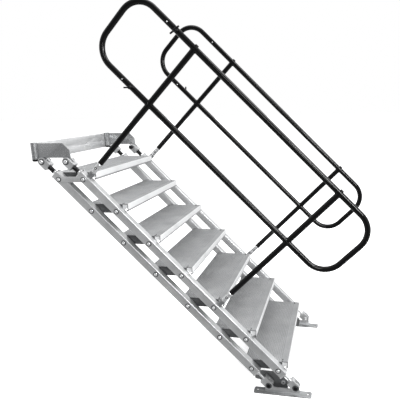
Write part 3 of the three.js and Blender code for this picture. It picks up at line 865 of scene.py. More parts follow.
@dataclass
class StageBracket:
    """The plate on the stage between two corner tubes, with an ear and two pivot bolts on each side."""

    bench: Bench
    layout: Layout
    fasteners: Fasteners
    thickness: float = 8.0
    top: float = 54.0
    lug: float = 21.0
    arch: float = 34.0
    corner: float = 20.0
    corner_wall: float = 4.0
    corner_inset: float = 1.0
    corner_rise: float = 4.0
    cap_drop: float = 57.0
    cap_depth: float = 14.0
    hole: float = 6.5
    hole_shares: tuple[float, ...] = (0.34, 0.82)

    @property
    def corner_run(self) -> float:
        """The run of a corner tube's axis."""
        return self.corner_inset + self.corner

    def profile(self) -> list[Corner]:
        """The ear from the side, as run and rise.

        Returns:
            Its corners.
        """
        back = self.corner_run + self.corner - self.corner_wall / 2
        first, top, lug, drop = self.layout.reach, self.top, self.lug, self.layout.lug_drop
        last, foot, round_off = first + self.layout.spacing, -drop - lug, lug - 0.1
        outline = [(back, -top, 0), (first - lug, -drop, 0)]
        outline += [(first - lug, foot, round_off), (first + lug, foot, round_off)]
        outline += [(first + lug, -self.arch, 14), (last - lug, -self.arch, 14)]
        outline += [(last - lug, foot, round_off), (last + lug, foot, round_off)]
        outline += [(last + lug, -42, 5), (last + 17, 12, 6), (last - 25, top, 6), (back, top, 0)]
        return outline

    def plate(self) -> Object:
        """The stage plate with its fixing holes.

        Returns:
            The plate.
        """
        bench, width, sheet = self.bench, self.layout.width, self.thickness
        long = width - self.layout.tube - self.corner
        plate = bench.box((long, sheet, 2 * self.top), (0, -sheet / 2, 0))
        drill = bench.turned([(self.hole, -sheet), (self.hole, 2 * sheet)])
        spots = [way * share * width / 2 for share in self.hole_shares for way in (-1, 1)]
        bench.drilled(plate, drill, [shifted(x=spot) @ DOWNHILL for spot in spots])
        return bench.soften(plate, 0.9)

    def corner_tube(self) -> Object:
        """The tube at one end of the plate, open at its top.

        Returns:
            The tube.
        """
        top, bottom = self.top + self.corner_rise, self.cap_depth - self.cap_drop
        outer, inner = self.corner, self.corner - self.corner_wall
        rings = [(inner, bottom), (outer, bottom), (outer, top - 1), (outer - 1, top)]
        rings += [(inner + 0.6, top), (inner, top - 0.6)]
        return self.bench.moved(self.bench.turned(rings, 48, ring=True), shifted(y=-self.corner_run))

    def corner_cap(self) -> Object:
        """The black cap under a corner tube.

        Returns:
            The cap.
        """
        low, high, outer = -self.cap_drop, self.cap_depth - self.cap_drop, self.corner
        rings = [(outer * 0.55, low), (outer * 0.8, low + 1.2), (outer * 0.95, low + 4)]
        rings += [(outer, low + 7.5), (outer, high)]
        return self.bench.moved(self.bench.turned(rings, 48), shifted(y=-self.corner_run))

    def seam(self) -> Object:
        """The weld seam where an ear meets its corner tube.

        Returns:
            A bead on both faces of the ear.
        """
        bead = self.bench.turned([(1, -53), (2.4, -52), (2.4, 52), (1, 53)], 12)
        side, run = self.thickness / 2, self.corner_run + self.corner
        return self.bench.repeated(bead, [shifted(x=x, y=-run) for x in (-side, side)])

    def build(self) -> None:
        """Models the plate, the corner tubes with their ears, and the bolts."""
        bench, layout = self.bench, self.layout
        ear = bench.soften(bench.plate(self.profile(), self.thickness), 0.9)
        # Painted light on the plate's face and painted shade on the ears and corner tubes: one steel in
        # two copies.
        face = {"plate": (self.plate(), Finish.FACE)}
        ends = {
            "ear": (bench.merged(ear, self.corner_tube(), self.seam()), Finish.DARK),
            "cap": (self.corner_cap(), Finish.SCREW),
        }
        stage = layout.stage()
        bench.dress(face, "bracket_*", "top_bracket", stage, {"plate": "top_bracket"})
        for side in Side:
            bench.dress(ends, f"bracket_*_{side.value}", "top_bracket", layout.sided(stage, side))
        bench.clear(face, ends)
        self.add_bolts()

    def add_bolts(self) -> None:
        """Models the four pivot bolts with their knobs."""
        bench, layout, parts = self.bench, self.layout, self.fasteners
        half = layout.tube / 2 + layout.gap
        outside, inside = shifted(x=-half) @ OUTWARD, shifted(x=half) @ INWARD
        bolt = {
            "head": (bench.moved(parts.lug_button(), outside), Finish.BRIGHT),
            # The washer's dark finish is painted shade round the bolt head.
            "washer": (bench.moved(parts.lug_ring(), outside), Finish.WASHER),
            "knob": (bench.moved(parts.grip_knob(), inside), Finish.SCREW),
        }
        for side in Side:
            for tier in Tier:
                frame = layout.sided(layout.pivot(tier), side)
                label = f"{side.value}_{tier.value}"
                names, node = f"bracket_*_{label}", f"bracket_bolt_{label}"
                bench.dress(bolt, names, "top_bracket", frame, {"head": node})
        bench.clear(bolt)


@dataclass
class SlopingTubes:
    """The two pairs of square tubes, their plugs, forks, necks and tread bolts."""

    bench: Bench
    layout: Layout
    fasteners: Fasteners
    overhang: float = 40.0
    corner: float = 3.5
    wall: float = 3.0
    open_depth: float = 20.0
    lip: float = 8.0
    lip_rim: float = 3.0
    boss: float = 12.0
    boss_length: float = 12.0
    fork_reach: float = 50.0
    cheek: float = 14.0
    slot: float = 32.0
    neck: float = 8.0
    grooves: int = 8
    sleeve: float = 7.0
    end_plate: float = 5.4
    link: float = 6.0

    @property
    def start(self) -> float:
        """Where a tube starts, down from its bracket pivot."""
        return self.layout.lug_to_tread - self.overhang

    @property
    def length(self) -> float:
        """The length of a tube."""
        return (self.layout.treads - 1) * self.layout.pitch + 2 * self.overhang

    def profile(self) -> Object:
        """The square tube with its rounded edges and open ends.

        Returns:
            The tube.
        """
        bench, size = self.bench, self.layout.tube
        middle = -self.start - self.length / 2
        tube = bench.box((size, self.length, size), (0, middle, 0))
        with bench.editing(tube):
            bench.select(tube, "edges", lambda e: abs((e.verts[0].co - e.verts[1].co).y) > size)
            bpy.ops.mesh.bevel(offset=self.corner, segments=5, profile=0.5, affect="EDGES")
            for end in (-self.start, -self.start - self.length):
                bench.select(tube, "faces", lambda f: abs(f.calc_center_median().y - end) < 1)
                bpy.ops.mesh.inset(thickness=self.wall, depth=0)
                bench.push(y=math.copysign(self.open_depth, middle - end))
        return tube

    def plug(self) -> Object:
        """The plug of the uphill end, with its boss, in the tube's frame.

        Returns:
            The plug.
        """
        bench, inside = self.bench, self.layout.tube - self.wall
        high = self.layout.tube + 2 * self.lip_rim
        lip = bench.soften(bench.box((inside, self.lip, high), (0, self.lip / 2 - self.start, 0)), 1.6, 3)
        bore, outer, end = self.neck + self.layout.gap, self.boss, self.boss_length
        rings = [(bore, 0), (outer + 2, 0), (outer, 2), (outer, end - 1), (outer - 1, end), (bore, end)]
        boss = bench.moved(bench.turned(rings, ring=True), shifted(y=self.lip - self.start) @ UPHILL)
        return bench.merged(lip, boss)

    def fork(self) -> Object:
        """A fork on its pivot, with its neck pointing downhill.

        Returns:
            The fork.
        """
        bench, half, reach = self.bench, self.layout.tube / 2, self.fork_reach
        turn = half - 0.1
        corners = [(-half, -half, turn), (reach, -half, 2), (reach, half, 2), (-half, half, turn)]
        block = bench.plate(corners, self.layout.tube, steps=12)
        length = half + self.slot + 4
        size = (self.layout.tube - 2 * self.cheek, length, 3 * half)
        return bench.soften(bench.cut(block, bench.box(size, (0, length / 2 - self.slot, 0))), 1.2)

    def neck_rod(self, grooves: int) -> Object:
        """The round neck between a fork and its tube.

        Args:
            grooves: how many turned grooves show.

        Returns:
            The neck, downhill of its fork.
        """
        wide, deep = self.neck, self.neck - 1.2
        rings = [(wide, self.fork_reach - 2)]
        for groove in range(grooves):
            spot = self.fork_reach + 4 + 4.6 * groove
            rings += [(wide, spot), (deep, spot + 0.9), (deep, spot + 1.5), (wide, spot + 2.4)]
        return self.bench.moved(self.bench.turned([*rings, (wide, self.start + 4)]), DOWNHILL)

    def neck_sleeve(self) -> Object:
        """The black sleeve on an uphill neck.

        Returns:
            The sleeve.
        """
        start, outer = self.fork_reach, self.neck + self.sleeve
        end = self.start - self.lip - self.boss_length - self.layout.gap
        rings = [(outer - 1, start), (outer, start + 1), (outer, start + 6), (outer - 0.7, start + 7)]
        rings += [(outer - 0.7, end - 7), (outer, end - 6), (outer, end - 1), (outer - 1, end)]
        return self.bench.moved(self.bench.turned(rings), DOWNHILL)

    def plug_screws(self) -> Object:
        """The two dark screws on the edges of a plug's lip.

        Returns:
            Both screws as one piece.
        """
        seat = self.layout.tube / 2 + self.lip_rim
        screw = self.bench.turned([(3.6, seat - 1), (3.6, seat + 2), (2.6, seat + 3)], 20)
        middle, over = shifted(y=self.lip / 2 - self.start), Matrix.Rotation(math.pi, 4, "Y")
        return self.bench.repeated(screw, [middle, middle @ over])

    def along_tube(self, model: Object) -> Object:
        """One copy of a part at each tread of a tube, further out over the first tread's link.

        Args:
            model: the part at the pivot, which goes away.

        Returns:
            The copies as one piece.
        """
        layout = self.layout
        outside = min(corner[0] for corner in model.bound_box) < 0
        outs = [self.link + 2 * layout.gap if outside else 0] + [0] * (layout.treads - 1)
        places = [shifted(x=-out, y=-layout.tread_run(step)) for step, out in enumerate(outs)]
        return self.bench.repeated(model, places)

    def washers(self) -> Object:
        """The washers of one tube's tread bolts.

        Returns:
            The washers as one piece.
        """
        parts = self.fasteners
        washer = parts.round_washer(parts.washer, parts.sheet)
        return self.along_tube(self.bench.moved(washer, shifted(x=-self.layout.tube / 2) @ OUTWARD))

    def bolts(self) -> Object:
        """The tread bolts of one tube: heads outside and nuts inside.

        Returns:
            The bolts as one piece.
        """
        bench, layout, parts = self.bench, self.layout, self.fasteners
        half = layout.tube / 2
        head = parts.button_head(parts.head, parts.sheet, parts.head_height)
        bench.moved(head, shifted(x=-half) @ OUTWARD)
        nut = parts.hex_nut(parts.nut, parts.nut_length, parts.thread, 0)
        bench.moved(nut, shifted(x=half + 2 * layout.gap + self.end_plate) @ INWARD)
        return bench.merged(self.along_tube(head), self.along_tube(nut))

    def build(self) -> None:
        """Models one tube with its ends and sets it on both sides of both tiers."""
        bench, layout = self.bench, self.layout
        downhill = shifted(y=-layout.foot_run) @ Matrix.Rotation(math.pi, 4, "Z")
        plug = self.plug()
        kit = {
            "tube": (self.profile(), Finish.ZINC),
            "plugs": (bench.merged(plug, bench.copied(plug, downhill)), Finish.BRIGHT),
            "plug_screws": (self.plug_screws(), Finish.SCREW),
            # The washers' dark finish is painted shade round the bolt heads.
            "tread_washers": (self.washers(), Finish.WASHER),
            "tread_bolts": (self.bolts(), Finish.BRIGHT),
        }
        collar = {"sleeve": (self.neck_sleeve(), Finish.SCREW)}
        block = (self.fork(), Finish.ZINC)
        top = {"block": block, "neck": (self.neck_rod(0), Finish.BRIGHT)}
        foot = {"block": block, "neck": (self.neck_rod(self.grooves), Finish.BRIGHT)}
        ends = {Place.TOP: (Matrix(), top), Place.FOOT: (downhill, foot)}
        for tier in Tier:
            body = f"{tier.value}_frame"
            for side in Side:
                frame = layout.sided(layout.tier(tier), side)
                names, node = f"*_{tier.value}_{side.value}", f"{tier.value}_tube_{side.value}"
                bench.dress(kit, names, body, frame, {"tube": node})
                for place, (turn, end) in ends.items():
                    spot = f"{tier.value}_fork_{place.value}_{side.value}"
                    bench.dress(end, f"{spot}_*", body, frame @ turn, {"block": spot})
                bench.dress(collar, names, body, frame)
        bench.clear(kit, collar, foot)
        bench.drop(top["neck"][0])


@dataclass
class Treads:
    """The level treads: a folded sheet with pressed grip holes, end plates and an edge strip."""

    bench: Bench
    layout: Layout
    thickness: float = 3.0
    height: float = 36.0
    back: float = 50.0
    front: float = 54.0
    end_plate: float = 5.4
    hole_pitch: tuple[float, float] = (13.0, 11.5)
    link: float = 6.0
    link_half: float = 17.0
    edge_depth: float = 30.0

    @property
    def length(self) -> float:
        """The length of a tread between the tubes."""
        return self.layout.width - 2 * (self.layout.tube + self.layout.gap)

    @property
    def end(self) -> float:
        """The run of the tread's front face."""
        return self.layout.spacing + self.front

    def sheet(self) -> Object:
        """The folded sheet with its rolled lower edge.

        Returns:
            The sheet.
        """
        end, top, back, inner = self.end, self.height, self.back, self.height - self.thickness
        folded = [(-back, 10, 0), (3 - back, 10, 0), (3 - back, inner, 0.6), (end - 3, inner, 0.6)]
        folded += [(end - 3, -6, 2.4), (end - 8, -6, 2.4), (end - 8, -3.5, 0), (end - 11, -3.5, 0)]
        folded += [(end - 11, -9, 5.4), (end, -9, 5.4), (end, top, 1), (-back, top, 3.5)]
        return self.bench.plate(folded, self.length, steps=6)

    def painted_light_corners(self) -> Object:
        """The front corner of both end plates in the light nosing finish: painted light, where the rest of
        each plate is painted shade.
        """
        low, high, front = self.plate_split, self.height - self.thickness / 2, self.end - 1.5
        return self.on_ends([(low, 0, 0), (front, 10, 0), (front, high, 0), (low, high, 0)])

    def end_plates(self) -> Object:
        """The painted-shade part of both end plates, round under both pivots: drawn nearly black where the
        plates fall in shade between the tubes.

        Returns:
            Both parts as one piece.
        """
        high, split, back, low = self.height - self.thickness / 2, self.plate_split, 1.5 - self.back, -20
        outline = [(back, 10, 0), (low, 0, 3), (low, low, 19.9), (split, low, 19.9)]
        return self.on_ends([*outline, (split, high, 0), (back, high, 0)])

    @property
    def plate_split(self) -> float:
        """The run where an end plate's painted shade meets its painted-light front corner."""
        return self.layout.spacing + 20

    def on_ends(self, outline: Sequence[Corner]) -> Object:
        """A plate of this outline, as run and rise, at both ends of the tread.

        Args:
            outline: its corners.

        Returns:
            Both plates as one piece.
        """
        plate = self.bench.soften(self.bench.plate(outline, self.end_plate, steps=10), 0.4)
        middle = self.length / 2 - self.end_plate / 2
        return self.bench.repeated(plate, [shifted(x=x) for x in (-middle, middle)])

    def grip_rim(self) -> Object:
        """The pressed rim of one grip hole.

        Returns:
            The rim.
        """
        rim = self.bench.turned([(4.6, -0.4), (4.3, 0.4), (3.7, 1.0), (3.2, 0.8), (3.0, -0.2)], 8)
        with self.bench.editing(rim):
            self.bench.select(rim, "faces", lambda f: len(f.verts) > 4)
            bpy.ops.mesh.delete(type="FACE")
        return rim

    def painted_shade_well(self) -> Object:
        """A flat dark disc in one grip hole: painted shade for the hole's dark inside."""
        bpy.ops.mesh.primitive_circle_add(vertices=8, radius=3.3, fill_type="NGON", location=(0, 0, 0.25))
        return self.bench.settled()

    def in_rows(self, hole: Object) -> Object:
        """Repeats one grip hole over the walked face, in staggered rows.

        Args:
            hole: the hole's part, modelled on the face at the origin.

        Returns:
            The same object with all its copies.
        """
        bench, border = self.bench, 8
        wide, deep = self.hole_pitch
        first = -self.length / 2 + self.end_plate + border
        bench.moved(hole, shifted(first, self.back - border, self.height))
        across = int(-2 * first / wide)
        rows = int((self.back + self.end - self.edge_depth - 12) / (2 * deep)) + 1
        for count, step in ((2, (wide / 2, -deep, 0)), (across, (wide, 0, 0)), (rows, (0, -2 * deep, 0))):
            offset = {"constant_offset_displace": step, "use_relative_offset": False}
            bench.modify(hole, "ARRAY", count=count, use_constant_offset=True, **offset)
        return hole

    def edge_top(self) -> Object:
        """The ribbed top of the edge strip.

        Returns:
            The top.
        """
        top, front = self.height + self.layout.gap, self.end + self.layout.gap
        ribs, pitch, high = 6, 4.4, top + 2
        start, groove = front + 2 - self.edge_depth, high - 0.9
        corners = [(start, top, 0), (front, top, 0), (front, high, 0)]
        for spot in (front - 1 - rib * pitch for rib in range(ribs)):
            corners += [(spot, high, 0), (spot - 0.6, groove, 0)]
            corners += [(spot - 1.6, groove, 0), (spot - 2.2, high, 0)]
        return self.bench.plate([*corners, (start, high, 0)], self.length)

    def strip(self) -> Object:
        """The light face of the edge strip, with two shallow grooves.

        Returns:
            The strip.
        """
        top, front = self.height + self.layout.gap, self.end + self.layout.gap
        face, deep = front + 2, front + 1.4
        corners = [(front, top + 2, 0), (front, top - 34, 0), (face, top - 34, 0.9)]
        for groove in (top - 26, top - 8):
            corners += [(face, groove - 0.9, 0), (deep, groove - 0.3, 0)]
            corners += [(deep, groove + 0.3, 0), (face, groove + 0.9, 0)]
        return self.bench.plate([*corners, (face, top + 2, 1.2)], self.length, steps=4)

    def end_screws(self) -> Object:
        """Dark discs in the ends of the rolled edge, painted shade for its hollow inside, and the screws
        by the edge strip.

        Returns:
            The dark discs and screws as one piece.
        """
        bench, half, end = self.bench, self.length / 2, self.end
        screw = bench.turned([(4.4, -0.5), (4.4, 1.0), (3.0, 2.2)], 20)
        # Painted shade: a dark disc stands for the hollow inside of each end of the rolled edge.
        plug = bench.turned([(3.6, -0.5), (3.6, 0.15)], 20)
        spots = [way * (half - 2 * spot + 16) for way in (-1, 1) for spot in (22, 12)]
        screws = bench.repeated(screw, [shifted(spot, 34 - end, self.height) for spot in spots])
        ends = [shifted(-half, 5.5 - end, -3.5) @ OUTWARD, shifted(half, 5.5 - end, -3.5) @ INWARD]
        return bench.merged(screws, bench.repeated(plug, ends))

    def build(self) -> None:
        """Models one tread and sets it on all its pivots."""
        bench, layout = self.bench, self.layout
        kit = {
            "sheet": (self.sheet(), Finish.DECK),
            # Painted shade and light: the end plates nearly black between the tubes, their front corners
            # in the light nosing finish.
            "plates": (self.end_plates(), Finish.SHADE),
            "corners": (self.painted_light_corners(), Finish.NOSING),
            "grip": (self.in_rows(self.grip_rim()), Finish.DECK),
            # Painted shade: a dark disc in each grip hole.
            "wells": (self.in_rows(self.painted_shade_well()), Finish.WASHER),
            "tread": (self.edge_top(), Finish.DECK),
            "strip": (self.strip(), Finish.NOSING),
            "screws": (self.end_screws(), Finish.SCREW),
        }
        for step in range(layout.treads):
            body = f"tread_{step + 1}"
            frame = layout.level(layout.tread_run(step))
            solids = {"sheet": f"{body}_deck", "strip": f"{body}_nosing"}
            bench.dress(kit, f"{body}_*", body, frame, solids)
        bench.clear(kit)
        self.add_links()

    def add_links(self) -> None:
        """Models the flat link outside the tubes at the first tread and sets it on both sides."""
        bench, layout, half = self.bench, self.layout, self.link_half
        high, low, turn = layout.spacing + half, -half, half - 0.1
        corners = [(low, low, turn), (high, low, turn), (high, half, turn), (low, half, turn)]
        link = bench.plate(corners, self.link, steps=10)
        bench.moved(link, shifted(x=-layout.tube / 2 - layout.gap - self.link / 2))
        kit = {"bar": (bench.soften(link, 0.8), Finish.ZINC)}
        for side in Side:
            frame = layout.sided(layout.level(layout.tread_run(0)), side)
            node = f"tread_1_link_{side.value}"
            bench.dress(kit, f"{node}_*", "tread_1", frame, {"bar": node})
        bench.clear(kit)


@dataclass
class FloorFeet:
    """The two feet: a floor plate, an ear in the forks, a tall web and a pin ring."""

    bench: Bench
    layout: Layout
    fasteners: Fasteners
    length: float = 358.0
    width: float = 66.0
    thickness: float = 6.0
    drop: float = 62.0
    hole: float = 7.0
    hole_inset: float = 38.0
    hole_from_end: float = 23.0
    lug: float = 21.0
    ear_sheet: float = 9.0
    web_sheet: float = 6.0
    web_middle: float = 34.5
    ring_spot: tuple[float, float, float] = (27.3, -84.0, -1.0)

    def base(self) -> Object:
        """The floor plate with its two holes.

        Returns:
            The plate.
        """
        bench, half, middle = self.bench, self.layout.tube / 2, self.layout.spacing / 2
        back, front, right = middle - self.length / 2, middle + self.length / 2, self.width - half
        corners = [(-half, back, 12), (right, back, 12), (right, front, 12), (-half, front, 12)]
        plate = bench.plate(corners, self.thickness, Lie.PLAN)
        inset, deep = self.hole_from_end, 3 * self.thickness / 2
        holes = [shifted(x=self.hole_inset - half, y=-run) for run in (back + inset, front - inset)]
        bench.drilled(plate, bench.turned([(self.hole, -deep), (self.hole, deep)]), holes)
        return bench.moved(plate, shifted(z=self.thickness / 2 - self.drop))

    def ear(self) -> Object:
        """The ear between the cheeks of both forks.

        Returns:
            The ear.
        """
        lug, far, low, turn = self.lug, self.layout.spacing, self.plate_low, self.lug - 0.1
        corners = [(-lug - 6, low, 0), (far + lug + 6, low, 0), (far + lug, 0, 0)]
        corners += [(far + lug, lug, turn), (far - lug, lug, turn), (far - lug, 0, 0)]
        corners += [(far - lug - 6, -22, 8), (lug + 6, -22, 8), (lug, 0, 0)]
        corners += [(lug, lug, turn), (-lug, lug, turn), (-lug, 0, 0)]
        return self.bench.plate(corners, self.ear_sheet, steps=10)

    def web(self) -> Object:
        """The tall web beside the forks.

        Returns:
            The web.
        """
        low = self.plate_low
        corners = [(6, low, 0), (110, low, 0), (118, 0, 6), (55, 66, 5)]
        corners += [(-94, 66, 5), (-94, 8, 3), (-21, -8, 6)]
        return self.bench.moved(self.bench.plate(corners, self.web_sheet), shifted(x=self.web_middle))

    @property
    def plate_low(self) -> float:
        """Where the ear and the web start, just inside the floor plate."""
        return self.thickness - self.drop - 1

    def ring(self) -> Object:
        """The ring on the web's outer face."""
        rings = [(6, -4.5), (12, -4.5), (13, -3.5), (13, 3.5), (12, 4.5), (6, 4.5)]
        return self.bench.moved(self.bench.turned(rings, ring=True), shifted(*self.ring_spot) @ OUTWARD)

    def build(self) -> None:
        """Models one foot and sets it under both sides."""
        bench, layout, parts = self.bench, self.layout, self.fasteners
        half, gap = layout.tube / 2, layout.gap
        seat = shifted(x=-half - gap) @ OUTWARD
        nut = parts.hex_nut(parts.lug_nut, parts.lug_nut_length, parts.lug_thread, parts.bolt_end)
        plates = {
            "base": (bench.soften(self.base(), 0.8), Finish.BASE),
            "web": (bench.soften(self.web(), 0.8), Finish.WEB),
            "ear": (bench.merged(bench.soften(self.ear(), 0.8), self.ring()), Finish.ZINC),
        }
        heads = {
            "head": (bench.moved(parts.lug_button(), seat), Finish.SCREW),
            # The washer's dark finish is painted shade round the bolt head.
            "washer": (bench.moved(parts.lug_ring(), seat), Finish.WASHER),
        }
        inner = {"nut": (bench.moved(nut, INWARD), Finish.BRIGHT)}
        web_face = self.web_middle + self.web_sheet / 2
        pivots = ((Tier.LOWER, 0, web_face + gap), (Tier.UPPER, layout.spacing, half + gap))
        for side in Side:
            body = f"foot_{side.value}"
            frame = layout.sided(layout.level(layout.foot_run), side)
            bench.dress(plates, f"{body}_*", body, frame, {"base": body})
            for tier, run, out in pivots:
                node = f"{body}_bolt_{tier.value}"
                bench.dress(heads, f"{node}_*", body, frame @ shifted(y=-run), {"head": node})
                bench.dress(inner, f"{node}_*", body, frame @ shifted(x=out, y=-run))
        bench.clear(plates, heads, inner)


@dataclass
class Handrails:
    """The black tube rails, their posts, pull-out ends and wing screws."""

    bench: Bench
    layout: Layout
    radius: float = 16.85
    lower: float = 612.0
    upper: float = 1012.0
    bend: float = 125.0
    uphill: float = 274.0
    downhill: float = 1552.0
    post_offset: float = 10.0
    post_steps: tuple[int, ...] = (0, 4)
    post_start: float = 134.0
    post_spigot: float = 12.0
    post_spigot_end: float = 190.0
    socket_radius: float = 16.0
    socket_height: float = 41.0
    clamp_radius: float = 15.2
    clamp_height: float = 60.0
    clamp_bolt_rise: float = 33.0
    stack_gap: float = 4.0
    flange_radius: float = 18.5
    flange_height: float = 6.0
    spigot: float = 13.9
    spigot_length: float = 130.0
    spigot_overlap: float = 20.0
    boss_height: float = 9.0
    screw_run: float = 26.0
    button_run: float = 41.0
    wing_thickness: float = 8.0
    wing_turns: dict[tuple[Side, Tier], float] = field(
        default_factory=lambda: {
            (Side.LEFT, Tier.LOWER): 135.0,
            (Side.LEFT, Tier.UPPER): 100.0,
            (Side.RIGHT, Tier.LOWER): 45.0,
            (Side.RIGHT, Tier.UPPER): 0.0,
        }
    )

    def loop(self, start: float, end: float) -> Object:
        """Both rails and the bend that joins them.

        Args:
            start: the run where both rails end.
            end: the run of the bend's outermost point.

        Returns:
            The bent tube.
        """
        bench, bend = self.bench, self.bend
        way, quarter = math.copysign(1, end - start), math.radians(90)
        place = {"location": (0, -start, self.lower), "rotation": (quarter, 0, 0)}
        bpy.ops.mesh.primitive_circle_add(vertices=ROUND, radius=self.radius, **place)
        obj = bench.settled()
        straight = way * (abs(end - start) - bend)
        turn = {"steps": 12, "angle": quarter, "axis": (way, 0, 0)}
        middle = -end + way * bend
        with bench.editing(obj):
            bench.push(y=-straight)
            bpy.ops.mesh.spin(center=(0, middle, self.lower + bend), **turn)
            bench.push(z=self.upper - self.lower - 2 * bend)
            bpy.ops.mesh.spin(center=(0, middle, self.upper - bend), **turn)
            bench.push(y=straight)
            bench.close()
        return obj

    def post_runs(self) -> list[float]:
        """Where the posts stand along the tube."""
        return [self.layout.tread_run(step) + self.post_offset for step in self.post_steps]

    def bead(self, run: float, rise: float, lean: int, half: bool) -> Object:
        """A weld bead where a post meets a rail.

        Args:
            run: the post's run.
            rise: the rail's rise.
            lean: 1 or -1 for the way that the bead leans.
            half: whether only its lower half shows.

        Returns:
            The bead.
        """
        bench = self.bench
        sizes = {"major_radius": self.radius + 0.4, "minor_radius": 1.7, "major_segments": 48}
        bpy.ops.mesh.primitive_torus_add(minor_segments=8, **sizes)
        bead = bench.moved(bench.settled(), Matrix.Scale(math.sqrt(2), 4, (0, 1, 0)))
        bench.moved(bead, Matrix.Rotation(lean * math.radians(45), 4, "X"))
        if half:
            level = {"plane_co": (0, 0, 0), "plane_no": (0, 0, 1)}
            with bench.editing(bead):
                bpy.ops.mesh.bisect(**level, clear_outer=True, use_fill=True)
        return bench.moved(bead, shifted(y=-run, z=rise))

    def rails(self) -> Object:
        """The fixed rails with posts, weld beads and screw bosses.

        Returns:
            The rails as one piece.
        """
        bench, radius = self.bench, self.radius
        low, out = self.post_start + self.flange_height, radius + self.boss_height
        post = [(radius - 2.6, low), (radius - 0.6, low), (radius, low + 0.6), (radius, self.upper)]
        cap = [(11, 12), (11, radius + 4.4), (9.6, radius + 6.3), (6, radius + 7)]
        boss = [(12.6, 11), (11, 12.5), (11, out - 1.2), (9.8, out)]
        parts = [self.loop(0, self.downhill)]
        for run in self.post_runs():
            parts.append(bench.moved(bench.turned(post), shifted(y=-run)))
            parts.append(bench.moved(bench.turned(cap), shifted(y=-run, z=self.upper)))
            parts += [self.bead(run, self.lower, lean, False) for lean in (-1, 1)]
            parts += [self.bead(run, self.upper, lean, True) for lean in (-1, 1)]
        seats = [shifted(y=-self.screw_run, z=rise) @ OUTWARD for rise in (self.lower, self.upper)]
        return bench.merged(*parts, bench.repeated(bench.turned(boss), seats))

    def rail_end(self) -> Object:
        """The pull-out end: its loop and its spigots.

        Returns:
            The end as one piece.
        """
        bench, radius, end = self.bench, self.spigot, self.spigot_length
        spigot = bench.turned([(radius, -self.spigot_overlap), (radius, end - 2), (radius - 2, end)])
        places = [shifted(z=rise) @ DOWNHILL for rise in (self.lower, self.upper)]
        return bench.merged(self.loop(-self.layout.gap, -self.uphill), bench.repeated(spigot, places))

    def buttons(self) -> Object:
        """The bright snap buttons on both sides of the pull-out rails.

        Returns:
            The buttons as one piece.
        """
        bottom, top = self.radius - 3, self.radius + 1.6
        button = self.bench.turned([(4, bottom), (4, top - 1), (3.2, top - 0.3), (2, top)], 20)
        seats = [shifted(y=self.button_run, z=rise) for rise in (self.lower, self.upper)]
        return self.bench.repeated(button, [seat @ way for seat in seats for way in (OUTWARD, INWARD)])

    def wing_screw(self) -> Object:
        """A wing screw with its wings along the rail, on the outer side of the rail's axis.

        Returns:
            The screw.
        """
        bench, seat = self.bench, self.radius + self.boss_height + self.layout.gap
        rings = [(4, 14.5), (4, seat), (9.2, seat), (10, seat + 1), (10, seat + 12.6), (8.6, seat + 14)]
        edge = [(32, 20, 3), (16, 20, 3), (6, 15, 0), (-6, 15, 0), (-16, 20, 3), (-32, 20, 3)]
        edge += [(-32, 8, 3), (-6, 1.5, 0), (6, 1.5, 0), (32, 8, 3)]
        corners = [(-along, -seat - out, turn) for along, out, turn in edge]
        wings = bench.soften(bench.plate(corners, self.wing_thickness, steps=5), 2.4, 3)
        return bench.merged(bench.moved(bench.turned(rings), OUTWARD), bench.moved(wings, INWARD))

    def build(self) -> None:
        """Models one side's rails and sets both sides on the upper tubes."""
        bench, layout = self.bench, self.layout
        fixed = {"tubes": (self.rails(), Finish.BLACK)}
        pulled = {"tubes": (self.rail_end(), Finish.BLACK), "buttons": (self.buttons(), Finish.BRIGHT)}
        screw = {"body": (self.wing_screw(), Finish.SCREW)}
        for side in Side:
            frame = layout.sided(layout.tier(Tier.UPPER), side)
            node = f"handrail_{side.value}"
            bench.dress(fixed, f"{node}_*", "upper_frame", frame, {"tubes": node})
            node = f"rail_end_{side.value}"
            bench.dress(pulled, f"{node}_*", node, frame, {"tubes": node})
            for tier, rise in ((Tier.LOWER, self.lower), (Tier.UPPER, self.upper)):
                node = f"wing_screw_{side.value}_{tier.value}"
                turn = Matrix.Rotation(math.radians(self.wing_turns[side, tier]), 4, "X")
                seat = frame @ shifted(y=-self.screw_run, z=rise) @ turn
                bench.dress(screw, f"{node}_*", node, seat, {"body": node})
        bench.clear(fixed, pulled, screw)
        self.add_stacks()

    @property
    def socket_low(self) -> float:
        """Where a post's socket stands on its tube."""
        return self.layout.tube / 2 + self.layout.gap

    @property
    def clamp_low(self) -> float:
        """The lower end of a post's clamp."""
        return self.socket_low + self.socket_height + self.stack_gap

    def socket(self) -> Object:
        """The dark socket on the tube, with its weld foot.

        Returns:
            The socket.
        """
        low, outer = self.socket_low, self.socket_radius
        bore, top = self.post_spigot + self.layout.gap, low + self.socket_height
        rings = [(bore, low), (outer + 2.5, low), (outer + 2.1, low + 1.6), (outer + 0.8, low + 2.6)]
        rings += [(outer, low + 4), (outer, top - 1), (outer - 1, top), (bore, top)]
        return self.bench.turned(rings, ring=True)

    def clamp(self) -> Object:
        """The clamp tube over the socket, with a groove above its foot and a slit uphill.

        Returns:
            The clamp.
        """
        bench, bore = self.bench, self.post_spigot + self.layout.gap
        low, outer, high = self.clamp_low, self.clamp_radius, self.clamp_low + self.clamp_height
        rings = [(outer - 0.8, low), (outer, low + 0.8), (outer, low + 4.5), (outer - 1.5, low + 5)]
        rings += [(outer - 1.5, low + 8.5), (outer, low + 9), (outer, high - 0.8), (outer - 0.8, high)]
        slit = bench.box((2.2, 2 * outer, self.clamp_height * 0.6), (0, outer * 1.4, high))
        return bench.cut(bench.turned(rings), bench.turned([(bore, low - 3), (bore, high + 3)]), slit)

